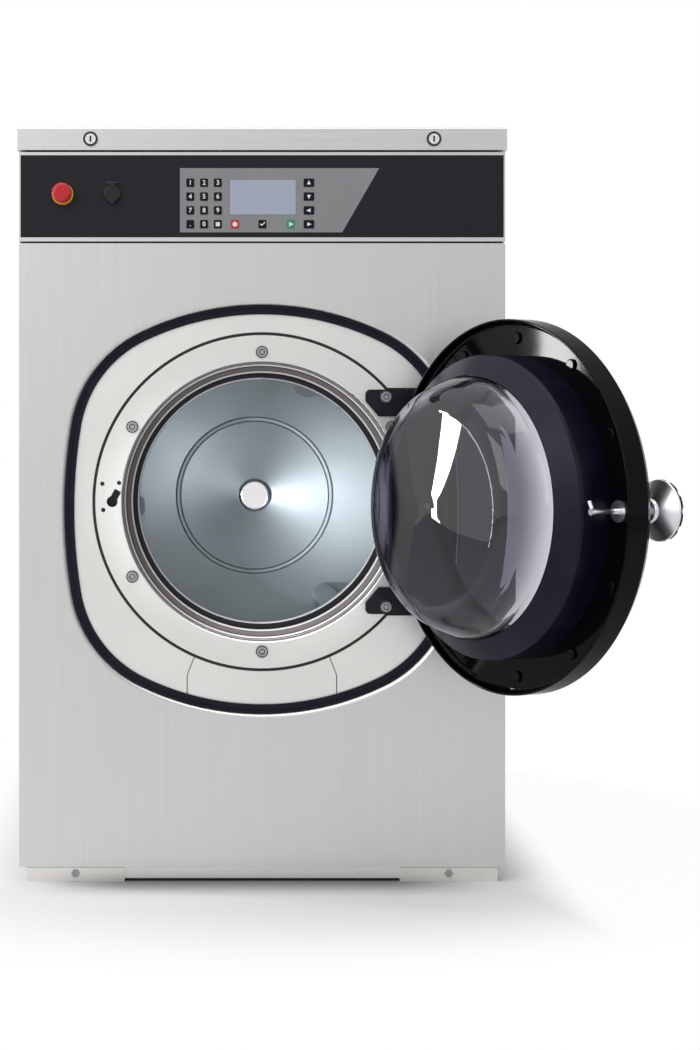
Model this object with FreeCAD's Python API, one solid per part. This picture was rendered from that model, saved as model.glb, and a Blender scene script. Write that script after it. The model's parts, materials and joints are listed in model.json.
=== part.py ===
import FreeCAD, Part
import math
import os

# Commercial front-loading washer. Millimetres, +X to the right seen from the front, +Z up.
# Depths (y) are measured from the front panel's face into the machine, and save() then moves
# every piece so that the origin lies on the floor under the middle of the cabinet.

# Cabinet
CABINET_WIDTH = 795.0
CABINET_DEPTH = 760.0
SHEET = 2.0
PANEL_BOTTOM = 24.0
PANEL_OVER_RECESS = 100.4
PANEL_GAP = 3.0
RETURN_DEPTH = 20.0
TOP_FLANGE = 20.0
REAR_PANEL_DROP = 8.0
FIT = 0.3
TOUCH = 0.05

# Base frame and feet
BASE_SIDE_INSET = 12.5
BASE_SETBACK = 5.0
BASE_TOP = 60.0
BASE_WALL = 4.0
FOOT_LENGTH = 160.0
FOOT_HEIGHT = 23.0
FOOT_DEPTH = 60.0
FOOT_PLATE = 5.0
FOOT_WALL = 4.0
ANCHOR_RADIUS = 7.0
ANCHOR_INSET_X = 80.0
ANCHOR_INSET_Y = 35.0
FOOT_BOLT_RADIUS = 4.0
FOOT_BOLT_HEAD_RADIUS = 7.0
FOOT_BOLT_HEAD = 4.0
FOOT_BOLT_TAIL = 6.0
FOOT_BOLT_HEIGHT = 14.0

# Control strip
CONTROL_HEIGHT = 146.0
STRIPE_TOP = 5.0
STRIPE_BOTTOM = 6.5
STRIPE_SIDE = 2.5
FASCIA_LAP = 3.0
FASCIA_THICK = 3.0
OVERLAY_THICK = 0.6
OVERLAY_LEFT = -134.5
OVERLAY_RIGHT_TOP = 191.5
OVERLAY_RIGHT_BOTTOM = 131.0
OVERLAY_BELOW_TOP = 26.0
OVERLAY_HEIGHT = 105.0
KEY_SIZE = 13.0
ARROW_KEY_WIDTH = 17.0
KEY_RISE = 0.5
KEY_ROUND = 2.0
KEY_COLUMNS = 3
KEY_ROWS = 4
KEY_PITCH_X = 22.5
KEY_PITCH_Z = 22.6
FIRST_KEY_X = -117.5
FIRST_KEY_DROP = 24.0
ARROW_KEY_X = 76.5
COMMAND_KEY_X = (-44.5, 0.5, 47.0)
DISPLAY_LEFT = -53.0
DISPLAY_WIDTH = 108.0
DISPLAY_DROP = 19.0
DISPLAY_HEIGHT = 57.0
DISPLAY_THICK = 1.0
BOARD_WIDTH = 240.0
BOARD_HEIGHT = 100.0
BOARD_THICK = 1.6
BOARD_GAP = 13.0
BOARD_POST_RADIUS = 4.0
BOARD_POST_INSET = 8.0
ELECTRONICS_WIDTH = 270.0
ELECTRONICS_HEIGHT = 116.0
ELECTRONICS_DEPTH = 135.0
CHIP_WIDTH = 46.0
CHIP_DEPTH = 26.0
CHIP_PITCH = 80.0

# Emergency stop and service socket on the control strip
STOP_X = -326.0
STOP_DROP = 69.0
STOP_CAP_RADIUS = 16.0
STOP_CAP_DEPTH = 19.0
STOP_CAP_ROUND = 6.0
STOP_EDGE_ROUND = 1.5
STOP_COLLAR_RADIUS = 17.5
STOP_COLLAR_DEPTH = 9.0
STOP_STEM_RADIUS = 9.0
STOP_TRAVEL = 6.0
STOP_STEM_TAIL = 12.0
STOP_BLOCK_SIZE = 32.0
STOP_BLOCK_DEPTH = 36.0
SOCKET_X = -245.0
SOCKET_RADIUS = 13.5
SOCKET_RISE = 5.0
SOCKET_BORE = 9.0
SOCKET_NECK = 10.5
SOCKET_TAIL = 14.0
CAP_RADIUS = 14.0
CAP_THICK = 5.5
CAP_PIN_RADIUS = 1.5
CAP_PIN_RISE = 17.0
CAP_PIN_DEPTH = 7.5
CAP_TAB_HALF = 4.5
CAP_EAR = 3.0
CAP_KNUCKLE = 3.5
CAP_PULL = 6.0
CAP_ROUND = 2.0

# Top lid
LID_LIP = 37.0
LID_OVERHANG = 2.5
LID_FRONT_OVERHANG = 3.0
LID_REAR_GAP = 0.5
LID_HEM = 15.0
LID_ROUND = 3.0
LOCK_X = 280.5
LOCK_RISE = 18.0
LOCK_BARREL_RADIUS = 8.5
LOCK_BEZEL_RADIUS = 12.0
LOCK_SLEEVE_RADIUS = 10.4
LOCK_BEZEL_RISE = 3.0
LOCK_SLEEVE_LENGTH = 12.0
LOCK_BARREL_LENGTH = 22.0
LOCK_CAM_LENGTH = 15.0
LOCK_CAM_WIDTH = 12.0
LOCK_CAM_THICK = 2.5
KEY_SLOT_WIDTH = 1.4
KEY_SLOT_LENGTH = 9.0
KEY_SLOT_DEPTH = 4.0
LID_HINGE_X = 250.0
LID_HINGE_BEHIND = 15.0
LID_HINGE_RISE = 9.0
LID_PIN_RADIUS = 4.0
LID_KNUCKLE_RADIUS = 9.0
LID_KNUCKLE_HALF = 15.0
LID_EAR = 18.0
LID_EAR_GAP = 0.5
LID_BRACKET_HEIGHT = 60.0
LID_BRACKET_THICK = 8.0
BUFFER_RADIUS = 6.0
BUFFER_FROM_FRONT = 60.0
BUFFER_FROM_REAR = 60.0

# Rounded-square door recess in the front panel
TUB_FLOOR = 271.0
RECESS_DROP = 12.4
RECESS_HALF_WIDTH = 323.0
RECESS_OVER_HINGE = 151.0
RECESS_TOP_RADIUS = 458.0
RECESS_SIDE_RADIUS = 851.0
RECESS_CORNER_RADIUS = 204.5
RECESS_ROLL = 7.0
RECESS_RIM = 12.0
RING_FACE = 14.0
RECESS_CLEARANCE = 0.5
SEAL_WIDTH = 15.0
SEAL_BEAD = 5.0
SEAL_LIP = 4.0

# Surround plate and door mounting ring, both on the tub
SURROUND_THICK = 2.5
SURROUND_LAP = 3.0
GROOVE_RADIUS = 276.0
GROOVE_WIDTH = 5.0
CARRIER_INNER = 262.0
CARRIER_OUTER = 300.0
CARRIER_THICK = 3.0
COVER_HALF_WIDTH = 123.5
COVER_TOP_HALF_WIDTH = 108.0
COVER_SHOULDER = 285.0
COVER_TOP = 245.0
COVER_GAP = 1.5
RING_THICK = 6.0
RING_FORM_SHEET = 3.0
THROAT_RADIUS = 229.5
THROAT_DEPTH = 20.0
LIP_RADIUS = 213.0
LIP_DEPTH = 33.0
LIP_LENGTH = 7.0
MOUTH_ROUND = 2.5
THROAT_ROUND = 4.0
LIP_ROUND = 1.5
RING_BOLT_CIRCLE = 245.7
RING_BOLT_COUNT = 6
FIRST_BOLT_ANGLE = 90.0
RING_BOLT_RADIUS = 5.0
RING_BOLT_HEAD_RADIUS = 7.0
RING_BOLT_HEAD = 5.5
RING_WASHER_RADIUS = 10.0
RING_WASHER = 1.5
RING_SOCKET_RADIUS = 3.6
RING_SOCKET_DEPTH = 3.5
SPACER_RADIUS = 9.0
KEYHOLE_RADIUS = 9.0
KEYHOLE_SLOT_WIDTH = 12.0
KEYHOLE_SLOT_REACH = 21.0
RING_PINHOLE_RADIUS = 2.2
RING_PINHOLES = ((-262.0, 29.5), (-234.5, 31.0), (-260.5, -13.5))

# Tub
TUB_RADIUS = 350.0
TUB_WALL = 3.0
TUB_FRONT_THICK = 4.0
DRIVE_ROOM = 302.0
TUB_BACK_THICK = 6.0

# Drum
DRUM_GAP = 25.0
DRUM_SHEET = 2.0
DRUM_FRONT_GAP = 22.0
DRUM_END_ROOM = 64.0
DRUM_MOUTH_RADIUS = 203.0
DRUM_LIP = 14.0
DRUM_LIP_ROUND = 4.0
DRUM_SHOULDER = 14.0
DRUM_BACK_THICK = 4.0
DRUM_RIDGE_RADIUS = 142.0
DRUM_RIDGE_WIDTH = 10.0
DRUM_RIDGE_RISE = 1.2
DRUM_RIDGE_ROUND = 2.0
HUB_CAP_RADIUS = 30.5
HUB_CAP_RISE = 11.0
HUB_CAP_ROUND = 7.0
LIFTER_COUNT = 3
FIRST_LIFTER_ANGLE = 65.0
LIFTER_HEIGHT = 120.0
LIFTER_BASE_HALF = 52.0
LIFTER_CREST_HALF = 17.0
LIFTER_ROUND = 15.0
LIFTER_END_GAP = 14.0
SPIDER_THICK = 22.0
SPIDER_HUB_RADIUS = 62.0
SPIDER_ARM_WIDTH = 44.0
SPIDER_ARM_INSET = 25.0

# Drive
SHAFT_RADIUS = 25.0
SHAFT_RUNNING = 0.06
SEAL_HOUSING_RADIUS = 40.0
HOUSING_LENGTH = 150.0
HOUSING_FLANGE_RADIUS = 150.0
HOUSING_FLANGE = 10.0
HOUSING_HUB_RADIUS = 75.0
HOUSING_RIB = 8.0
HOUSING_RIB_COUNT = 6
HOUSING_RIB_LENGTH = 72.0
BEARING_RADIUS = 55.0
BEARING_WIDTH = 28.0
BEARING_END = 8.0
BEARING_GROOVE = 3.0
BEARING_RACE = 9.0
PULLEY_GAP = 10.0
PULLEY_WIDTH = 30.0
PULLEY_RADIUS = 200.0
PULLEY_RIM = 12.0
PULLEY_WEB = 8.0
PULLEY_HUB_RADIUS = 46.0
PULLEY_HOLE_RADIUS = 38.0
PULLEY_HOLE_CIRCLE = 118.0
PULLEY_HOLE_COUNT = 6
MOTOR_PULLEY_RADIUS = 40.0
BELT_THICK = 5.0
BELT_WIDTH = 24.0
MOTOR_X = 150.0
MOTOR_Z = 178.0
MOTOR_RADIUS = 85.0
MOTOR_LENGTH = 220.0
MOTOR_FRONT_GAP = 22.0
MOTOR_SHAFT_RADIUS = 14.0
MOTOR_SHAFT_INSIDE = 50.0
MOTOR_CAP = 18.0
MOTOR_CAP_STEP = 8.0
MOTOR_CAP_ROUND = 4.0
MOTOR_ROUND = 2.0
MOUNT_PLATE = 8.0
MOUNT_HALF_WIDTH = 45.0

# Suspension
SPRING_X = 300.0
SPRING_FRONT = 150.0
SPRING_FROM_BACK = 82.0
SPRING_RADIUS = 38.0
SPRING_WIRE = 6.0
SPRING_TURNS = 6
SPRING_HEIGHT = 270.0
DAMPER_FROM_SPRING = 72.0
DAMPER_RADIUS = 22.0
DAMPER_LENGTH = 150.0
DAMPER_FLOOR = 12.0
DAMPER_ROD_RADIUS = 9.0
DAMPER_ROD_OVERLAP = 70.0
SEAT_THICK = 8.0
SEAT_HALF_WIDTH = 40.0
SEAT_MARGIN = 35.0
GUSSET_HEIGHT = 150.0

# Water in and out
DRAIN_X = -120.0
DRAIN_Y = 300.0
DRAIN_PIPE_Z = 115.0
DRAIN_PIPE_RADIUS = 37.5
DRAIN_PIPE_WALL = 4.0
DRAIN_PIPE_BEHIND = 60.0
DRAIN_PIPE_STEP = 1.0
DRAIN_PIPE_FRONT = 55.0
DRAIN_STUB_RADIUS = 30.0
DRAIN_STUB_TOP = 165.0
DRAIN_SADDLE = 30.0
BELLOWS_RADIUS = 34.0
BELLOWS_LENGTH = 40.0
VALVE_RADIUS = 46.0
VALVE_FLANGE = 10.0
INLET_XS = (-250.0, -190.0)
INLET_RISE = 38.0
INLET_RADIUS = 13.2
INLET_LENGTH = 16.0
INLET_BORE = 8.0
INLET_NECK = 12.0
INLET_BODY = 52.0
INLET_BODY_DEPTH = 46.0
SPOUT_RADIUS = 12.0
SPOUT_WALL = 2.0
SPOUT_X = -220.0
SPOUT_FROM_BACK = 72.0
FUNNEL_RADIUS = 28.0
FUNNEL_WALL = 3.0
FUNNEL_HEIGHT = 100.0
FUNNEL_GAP = 12.0
GLAND_X = 280.0
GLAND_RISE = 3.0
GLAND_RADIUS = 15.0
GLAND_NECK = 10.0
GLAND_BORE = 7.0
GLAND_OUT = 26.0
GLAND_IN = 10.0

# Door, measured from the hinge axis: the depths grow into the machine with the door closed
DOOR_REST_ANGLE = 120.0
HINGE_X = 254.5
HINGE_FORWARD = 55.0
RIM_RADIUS = 281.0
RIM_NEAR = 39.0
RIM_FAR = 7.0
RIM_WALL = 4.0
RIM_ROUND = 1.8
DISH_DEPTH = 25.0
DISH_THICK = 4.0
DISH_ROUND = 6.0
SEAL_RADIUS = 227.0
SEAL_SHOULDER = 76.0
SEAL_TIP_DEPTH = 103.0
SEAL_WALL = 6.0
SEAL_ROUND = 7.0
SEAL_TIP_ROUND = 2.0
SEAL_TIP_WALL = 9.0
GLASS_RADIUS = 193.5
GLASS_WALL = 8.0
GLASS_FLANGE = 21.0
GLASS_BEND_DEPTH = 112.0
GLASS_END_RADIUS = 170.0
GLASS_END_DEPTH = 173.0
GLASS_CROWN = 6.0
GLASS_CORNER = 44.0
GLASS_BEND = 30.0
GLASS_HOLE_GAP = 2.5
TRIM_APEX_RADIUS = 237.0
TRIM_APEX = -23.0
TRIM_OUTER_RADIUS = 268.0
TRIM_OUTER_DEPTH = -13.0
TRIM_INNER_RADIUS = 200.0
TRIM_INNER_DEPTH = -16.0
TRIM_WINDOW_RADIUS = 188.0
TRIM_WINDOW_DEPTH = -4.0
TRIM_SHEET = 4.0
TRIM_ROUND = 16.0
TRIM_EDGE_ROUND = 2.0
DOOR_SCREW_CIRCLE = 253.0
DOOR_SCREW_ANGLES = (35.0, 65.0, 95.0, 125.0, 155.0)
DOOR_SCREW_RADIUS = 2.5
DOOR_SCREW_LENGTH = 20.0
DOOR_SCREW_HEAD_RADIUS = 9.0
DOOR_SCREW_HEAD = 4.0
DOOR_SCREW_ROUND = 2.0
DOOR_BOSS_RADIUS = 6.0

# Hinges
HINGE_LOW = 140.0
HINGE_HIGH = 184.0
HINGE_EAR = 10.0
HINGE_EAR_GAP = 1.0
HINGE_EAR_RADIUS = 9.0
HINGE_PIN_RADIUS = 5.0
HINGE_PIN_PROUD = 2.0
HINGE_BASE_LEFT = 169.5
HINGE_BASE_RIGHT = 268.0
HINGE_BASE = 8.0
HINGE_BOLT_X = 203.0
HINGE_BOLT_Z = 172.0
HINGE_TOE_X = 191.0
HINGE_TOE_Z = 165.0
HINGE_PAD_INSET = 2.0
KNUCKLE_RADIUS = 8.5
ARM_ROOT_X = 215.0
ARM_ROOT_NEAR = 9.0
ARM_ROOT_FAR = 27.0

# Turn handle
HANDLE_RADIUS = 246.0
LATCH_RADIUS = 4.0
LATCH_TIP = 77.0
LATCH_TIP_RADIUS = 5.0
HOOK_RADIUS = 3.2
HOOK_LENGTH = 16.0
HOOK_ANGLE = 62.0
HOOK_MARGIN = 1.0
BUSH_RADIUS = 10.0
BUSH_END = -26.0
ESCUTCHEON_RADIUS = 15.5
ESCUTCHEON_THICK = 3.0
KNOB_NECK_RADIUS = 16.0
KNOB_NECK = 2.5
KNOB_RADIUS = 44.0
KNOB_FLARE_END = -49.0
KNOB_WAIST = 1.5
KNOB_NECK_ROUND = 1.0
KNOB_FLARE_ROUND = 5.0
KNOB_RIM = 2.0
KNOB_RIM_ROUND = 2.0
GRIP_THICK = 5.0
GRIP_ROUND = 1.5
GRIP_SCALLOPS = 10
SCALLOP_RADIUS = 9.0
SCALLOP_BITE = 3.0

# Door lock housing behind the keyhole
LOCK_BOX_LEFT = -278.0
LOCK_BOX_RIGHT = -233.2
LOCK_BOX_HALF_HEIGHT = 32.0
LOCK_BOX_WALL = 1.5

# Places that follow from the sizes above
AXIS_Z = TUB_FLOOR + TUB_RADIUS
RECESS_Z = AXIS_Z - RECESS_DROP
RECESS_HALF_HEIGHT = HINGE_HIGH + RECESS_OVER_HINGE
HALF_WIDTH = CABINET_WIDTH / 2
HALF_BASE = HALF_WIDTH - BASE_SIDE_INSET
INSIDE = HALF_WIDTH - SHEET
BASE_FRONT = BASE_SETBACK
BASE_REAR = CABINET_DEPTH - BASE_SETBACK
FRONT_TOP = RECESS_Z + RECESS_HALF_HEIGHT + PANEL_OVER_RECESS
CONTROL_BOTTOM = FRONT_TOP + PANEL_GAP
CONTROL_TOP = CONTROL_BOTTOM + CONTROL_HEIGHT
LID_BOTTOM = CONTROL_TOP + PANEL_GAP
LID_TOP = LID_BOTTOM + LID_LIP
WINDOW_BOTTOM = CONTROL_BOTTOM + STRIPE_BOTTOM
WINDOW_TOP = CONTROL_TOP - STRIPE_TOP
WINDOW_HALF = HALF_WIDTH - STRIPE_SIDE
FASCIA_FRONT = SHEET
FASCIA_BACK = FASCIA_FRONT + FASCIA_THICK
OVERLAY_TOP = WINDOW_TOP - OVERLAY_BELOW_TOP + STRIPE_TOP
OVERLAY_BOTTOM = OVERLAY_TOP - OVERLAY_HEIGHT
STOP_Z = CONTROL_TOP - STOP_DROP
SOCKET_Z = STOP_Z
LID_FRONT = -LID_FRONT_OVERHANG
LID_REAR = CABINET_DEPTH + LID_REAR_GAP + SHEET
LID_HALF = HALF_WIDTH + LID_OVERHANG
LOCK_Z = LID_BOTTOM + LOCK_RISE
LID_AXIS_Y = CABINET_DEPTH + LID_HINGE_BEHIND
LID_AXIS_Z = LID_BOTTOM + LID_HINGE_RISE
RING_BACK = RING_FACE + RING_THICK
RING_OUTER = GROOVE_RADIUS - GROOVE_WIDTH / 2
SURROUND_HOLE = GROOVE_RADIUS + GROOVE_WIDTH / 2
CARRIER_FRONT = RING_FACE + SURROUND_THICK
TUB_FRONT = RING_FACE + LIP_DEPTH + LIP_LENGTH - TUB_FRONT_THICK
TUB_SHELL_FRONT = TUB_FRONT + TUB_FRONT_THICK
TUB_LENGTH = CABINET_DEPTH - DRIVE_ROOM
TUB_BACK = TUB_SHELL_FRONT + TUB_LENGTH
TUB_OUTER = TUB_RADIUS + TUB_WALL
DRUM_RADIUS = TUB_RADIUS - DRUM_GAP
LIFTER_INNER = DRUM_RADIUS - LIFTER_HEIGHT
TUB_REAR = TUB_BACK + TUB_BACK_THICK
DRUM_FRONT = TUB_SHELL_FRONT + DRUM_FRONT_GAP
DRUM_BACK = DRUM_FRONT + TUB_LENGTH - DRUM_END_ROOM
SPIDER_FRONT = DRUM_BACK + DRUM_BACK_THICK
SPIDER_BACK = SPIDER_FRONT + SPIDER_THICK
HOUSING_END = TUB_REAR + HOUSING_LENGTH
PULLEY_FRONT = HOUSING_END + PULLEY_GAP
PULLEY_BACK = PULLEY_FRONT + PULLEY_WIDTH
MOTOR_BACK = PULLEY_FRONT - MOTOR_FRONT_GAP
MOTOR_FRONT = MOTOR_BACK - MOTOR_LENGTH
BELT_FRONT = PULLEY_FRONT + (PULLEY_WIDTH - BELT_WIDTH) / 2
SEAT_Z = BASE_TOP + SPRING_HEIGHT
SPRING_REAR = TUB_BACK - SPRING_FROM_BACK
DAMPER_FRONT = SPRING_FRONT + DAMPER_FROM_SPRING
DAMPER_REAR = SPRING_REAR - DAMPER_FROM_SPRING
SPOUT_Y = TUB_BACK - SPOUT_FROM_BACK
INLET_Z = CONTROL_BOTTOM + INLET_RISE
GLAND_Z = CONTROL_BOTTOM + GLAND_RISE
HINGE_Y = RING_FACE - HINGE_FORWARD
HANDLE_X = -HANDLE_RADIUS
KNOB_BACK = BUSH_END - FIT
GRIP_BACK = KNOB_FLARE_END
GRIP_END = GRIP_BACK - GRIP_THICK


def vec(x, y, z):
    return FreeCAD.Vector(x, y, z)


def block(x0, x1, y0, y1, z0, z1):
    """Box between two corners."""
    return Part.makeBox(x1 - x0, y1 - y0, z1 - z0, vec(x0, y0, z0))


def rod_x(radius, x0, x1, y, z):
    return Part.makeCylinder(radius, x1 - x0, vec(x0, y, z), vec(1, 0, 0))


def rod_y(radius, y0, y1, x, z):
    return Part.makeCylinder(radius, y1 - y0, vec(x, y0, z), vec(0, 1, 0))


def rod_z(radius, z0, z1, x, y):
    return Part.makeCylinder(radius, z1 - z0, vec(x, y, z0), vec(0, 0, 1))


def joined(*shapes):
    """One solid from touching shapes, with flush faces merged."""
    return shapes[0].multiFuse(list(shapes[1:])).removeSplitter()


def trimmed(shape, *tools):
    return shape.cut(list(tools))


def mirrored(shape):
    """The same piece on the other side of the machine's middle plane."""
    return shape.mirror(vec(0, 0, 0), vec(1, 0, 0))


def turned_about(shape, angle, x, z):
    """Turn a piece about a front-to-back line, seen from the front, by degrees from +X to +Z."""
    copy = shape.copy()
    copy.rotate(vec(x, 0, z), vec(0, -1, 0), angle)
    return copy


def rounded_outline(corners, place):
    """Closed wire through corners (u, v, rounding), where place(u, v) gives the point in space."""
    starts = []
    ends = []
    middles = []
    for index, (u, v, rounding) in enumerate(corners):
        corner = vec(u, v, 0)
        to_last = vec(corners[index - 1][0], corners[index - 1][1], 0) - corner
        following = corners[(index + 1) % len(corners)]
        to_next = vec(following[0], following[1], 0) - corner
        to_last.normalize()
        to_next.normalize()
        if rounding == 0:
            starts.append(corner)
            ends.append(corner)
            middles.append(None)
            continue
        half = to_last.getAngle(to_next) / 2
        reach = rounding / math.tan(half)
        inward = to_last + to_next
        inward.normalize()
        starts.append(corner + to_last * reach)
        ends.append(corner + to_next * reach)
        middles.append(corner + inward * (rounding / math.sin(half) - rounding))
    edges = []
    for index, middle in enumerate(middles):
        start = place(starts[index].x, starts[index].y)
        end = place(ends[index].x, ends[index].y)
        if middle is not None:
            edges.append(Part.Arc(start, place(middle.x, middle.y), end).toShape())
        after = starts[(index + 1) % len(corners)]
        after = place(after.x, after.y)
        if end.distanceToPoint(after) > 1e-6:
            edges.append(Part.LineSegment(end, after).toShape())
    return Part.Wire(edges)


def turned(corners, x, z):
    """Solid turned about the front-to-back line at (x, z) from corners (radius, y, rounding)."""
    wire = rounded_outline(corners, lambda radius, y: vec(x + radius, y, z))
    return Part.Face(wire).revolve(vec(x, 0, z), vec(0, 1, 0), 360)


def ring(outer, inner, y0, y1, x=0.0, z=AXIS_Z):
    return rod_y(outer, y0, y1, x, z).cut(rod_y(inner, y0, y1, x, z))


def plate(corners, y0, y1):
    """Plate with an outline of corners (x, z, rounding) in the front plane."""
    wire = rounded_outline(corners, lambda x, z: vec(x, y0, z))
    return Part.Face(wire).extrude(vec(0, y1 - y0, 0))


def hexagon(radius, y0, y1, x, z):
    """Hexagonal head whose corners lie on a circle of this radius."""
    corners = []
    for side in range(6):
        angle = math.radians(60 * side)
        corners.append((x + radius * math.cos(angle), z + radius * math.sin(angle), 0))
    return plate(corners, y0, y1)


def around(count, first, radius):
    """Places (x, z) spaced evenly on a circle about the drum's axis."""
    places = []
    for index in range(count):
        angle = math.radians(first + 360.0 * index / count)
        places.append((radius * math.cos(angle), AXIS_Z + radius * math.sin(angle)))
    return places


def recess_outline(inset, y):
    """The recess's rounded square, drawn in by inset: eight arcs that meet smoothly."""
    top = vec(0, RECESS_HALF_HEIGHT - RECESS_TOP_RADIUS, 0)
    side = vec(RECESS_HALF_WIDTH - RECESS_SIDE_RADIUS, 0, 0)
    to_top = RECESS_TOP_RADIUS - RECESS_CORNER_RADIUS
    to_side = RECESS_SIDE_RADIUS - RECESS_CORNER_RADIUS
    between = side - top
    span = between.Length
    along = (to_top ** 2 - to_side ** 2 + span ** 2) / (2 * span)
    across = math.sqrt(to_top ** 2 - along ** 2)
    between.normalize()
    corner = top + between * along + vec(between.y, -between.x, 0) * across
    up = corner - top
    out = corner - side
    up.normalize()
    out.normalize()
    slant = up + out
    slant.normalize()
    top_end = top + up * (RECESS_TOP_RADIUS - inset)
    side_end = side + out * (RECESS_SIDE_RADIUS - inset)
    corner_middle = corner + slant * (RECESS_CORNER_RADIUS - inset)
    high = RECESS_HALF_HEIGHT - inset
    wide = RECESS_HALF_WIDTH - inset

    def at(u, v):
        return vec(u, y, RECESS_Z + v)

    def arc(first, middle, last):
        return Part.Arc(at(*first), at(*middle), at(*last)).toShape()

    tx, tz = top_end.x, top_end.y
    sx, sz = side_end.x, side_end.y
    cx, cz = corner_middle.x, corner_middle.y
    return Part.Wire([
        arc((-tx, tz), (0, high), (tx, tz)),
        arc((tx, tz), (cx, cz), (sx, sz)),
        arc((sx, sz), (wide, 0), (sx, -sz)),
        arc((sx, -sz), (cx, -cz), (tx, -tz)),
        arc((tx, -tz), (0, -high), (-tx, -tz)),
        arc((-tx, -tz), (-cx, -cz), (-sx, -sz)),
        arc((-sx, -sz), (-wide, 0), (-sx, sz)),
        arc((-sx, sz), (-cx, cz), (-tx, tz)),
    ])


def recess_prism(inset, y0, y1):
    return Part.Face(recess_outline(inset, y0)).extrude(vec(0, y1 - y0, 0))


def recess_band(outer_inset, inner_inset, y0, y1):
    return recess_prism(outer_inset, y0, y1).cut(recess_prism(inner_inset, y0, y1))


def save(name, *solids):
    """Write one node, moved so that the origin is on the floor under the cabinet's middle."""
    shape = solids[0].copy() if len(solids) == 1 else Part.makeCompound(list(solids))
    shape.translate(vec(0, -CABINET_DEPTH / 2, 0))
    shape.exportStep(os.path.join("parts", name + ".step"))


def save_door(name, *solids):
    """Write one node of the door, swung from closed to the angle at which it rests."""
    swung = []
    for solid in solids:
        copy = solid.copy()
        copy.rotate(vec(HINGE_X, HINGE_Y, 0), vec(0, 0, 1), DOOR_REST_ANGLE)
        swung.append(copy)
    save(name, *swung)


# Base frame: an open-bottomed tray that the panels stand around

def base_frame():
    outer = block(-HALF_BASE, HALF_BASE, BASE_FRONT, BASE_REAR, FOOT_PLATE, BASE_TOP)
    inner = block(-HALF_BASE + BASE_WALL, HALF_BASE - BASE_WALL, BASE_FRONT + BASE_WALL,
                  BASE_REAR - BASE_WALL, FOOT_PLATE, BASE_TOP - BASE_WALL)
    return trimmed(outer, inner, *foot_bolt_holes())


def foot_places():
    """Middle of each foot in x, with the base wall that it is bolted to and the way out from it."""
    middle = HALF_BASE - FOOT_LENGTH / 2
    return [(x, wall, out) for x in (-middle, middle)
            for wall, out in ((BASE_FRONT, -1), (BASE_REAR, 1))]


def foot_bolt_holes():
    holes = []
    reach = max(FOOT_WALL, BASE_WALL)
    for x, wall, _ in foot_places():
        holes.append(rod_y(FOOT_BOLT_RADIUS + TOUCH, wall - reach, wall + reach, x, FOOT_BOLT_HEIGHT))
    return holes


def corner_feet():
    feet = []
    for x, wall, out in foot_places():
        face = wall + out * FOOT_WALL
        heel = face - out * FOOT_DEPTH
        left = x - FOOT_LENGTH / 2
        right = x + FOOT_LENGTH / 2
        upright = block(left, right, min(wall, face), max(wall, face), 0, FOOT_HEIGHT)
        flat = block(left, right, min(face, heel), max(face, heel), 0, FOOT_PLATE)
        anchor_x = math.copysign(HALF_BASE - ANCHOR_INSET_X, x)
        anchor = rod_z(ANCHOR_RADIUS, 0, FOOT_PLATE, anchor_x, face - out * ANCHOR_INSET_Y)
        feet.append(trimmed(joined(upright, flat), anchor, *foot_bolt_holes()))
    return feet


def foot_bolts():
    bolts = []
    for x, wall, out in foot_places():
        face = wall + out * FOOT_WALL
        tip = wall - out * (BASE_WALL + FOOT_BOLT_TAIL)
        head_end = face + out * FOOT_BOLT_HEAD
        head = hexagon(FOOT_BOLT_HEAD_RADIUS, min(face, head_end), max(face, head_end), x,
                       FOOT_BOLT_HEIGHT)
        shank = rod_y(FOOT_BOLT_RADIUS, min(face, tip), max(face, tip), x, FOOT_BOLT_HEIGHT)
        bolts.append(joined(head, shank))
    return bolts


# Outer panels

def right_side_panel():
    skin = block(INSIDE, HALF_WIDTH, RETURN_DEPTH, CABINET_DEPTH, PANEL_BOTTOM, CONTROL_TOP)
    foot = block(HALF_BASE, INSIDE, RETURN_DEPTH, CABINET_DEPTH - SHEET, PANEL_BOTTOM,
                 PANEL_BOTTOM + SHEET)
    shelf = block(INSIDE - TOP_FLANGE, INSIDE, RETURN_DEPTH, CABINET_DEPTH - SHEET,
                  CONTROL_TOP - SHEET, CONTROL_TOP)
    return joined(skin, foot, shelf)


def rear_panel():
    top = CONTROL_TOP - REAR_PANEL_DROP
    skin = block(-INSIDE, INSIDE, CABINET_DEPTH - SHEET, CABINET_DEPTH, PANEL_BOTTOM, top)
    foot = block(-HALF_BASE, HALF_BASE, BASE_REAR, CABINET_DEPTH - SHEET, PANEL_BOTTOM,
                 PANEL_BOTTOM + SHEET)
    holes = [rod_y(DRAIN_PIPE_RADIUS + FIT, BASE_REAR, CABINET_DEPTH, DRAIN_X, DRAIN_PIPE_Z)]
    for x in INLET_XS:
        holes.append(rod_y(INLET_RADIUS + FIT, BASE_REAR, CABINET_DEPTH, x, INLET_Z))
    holes.append(rod_y(GLAND_NECK + FIT, BASE_REAR, CABINET_DEPTH, GLAND_X, GLAND_Z))
    return trimmed(joined(skin, foot), *holes)


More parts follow.
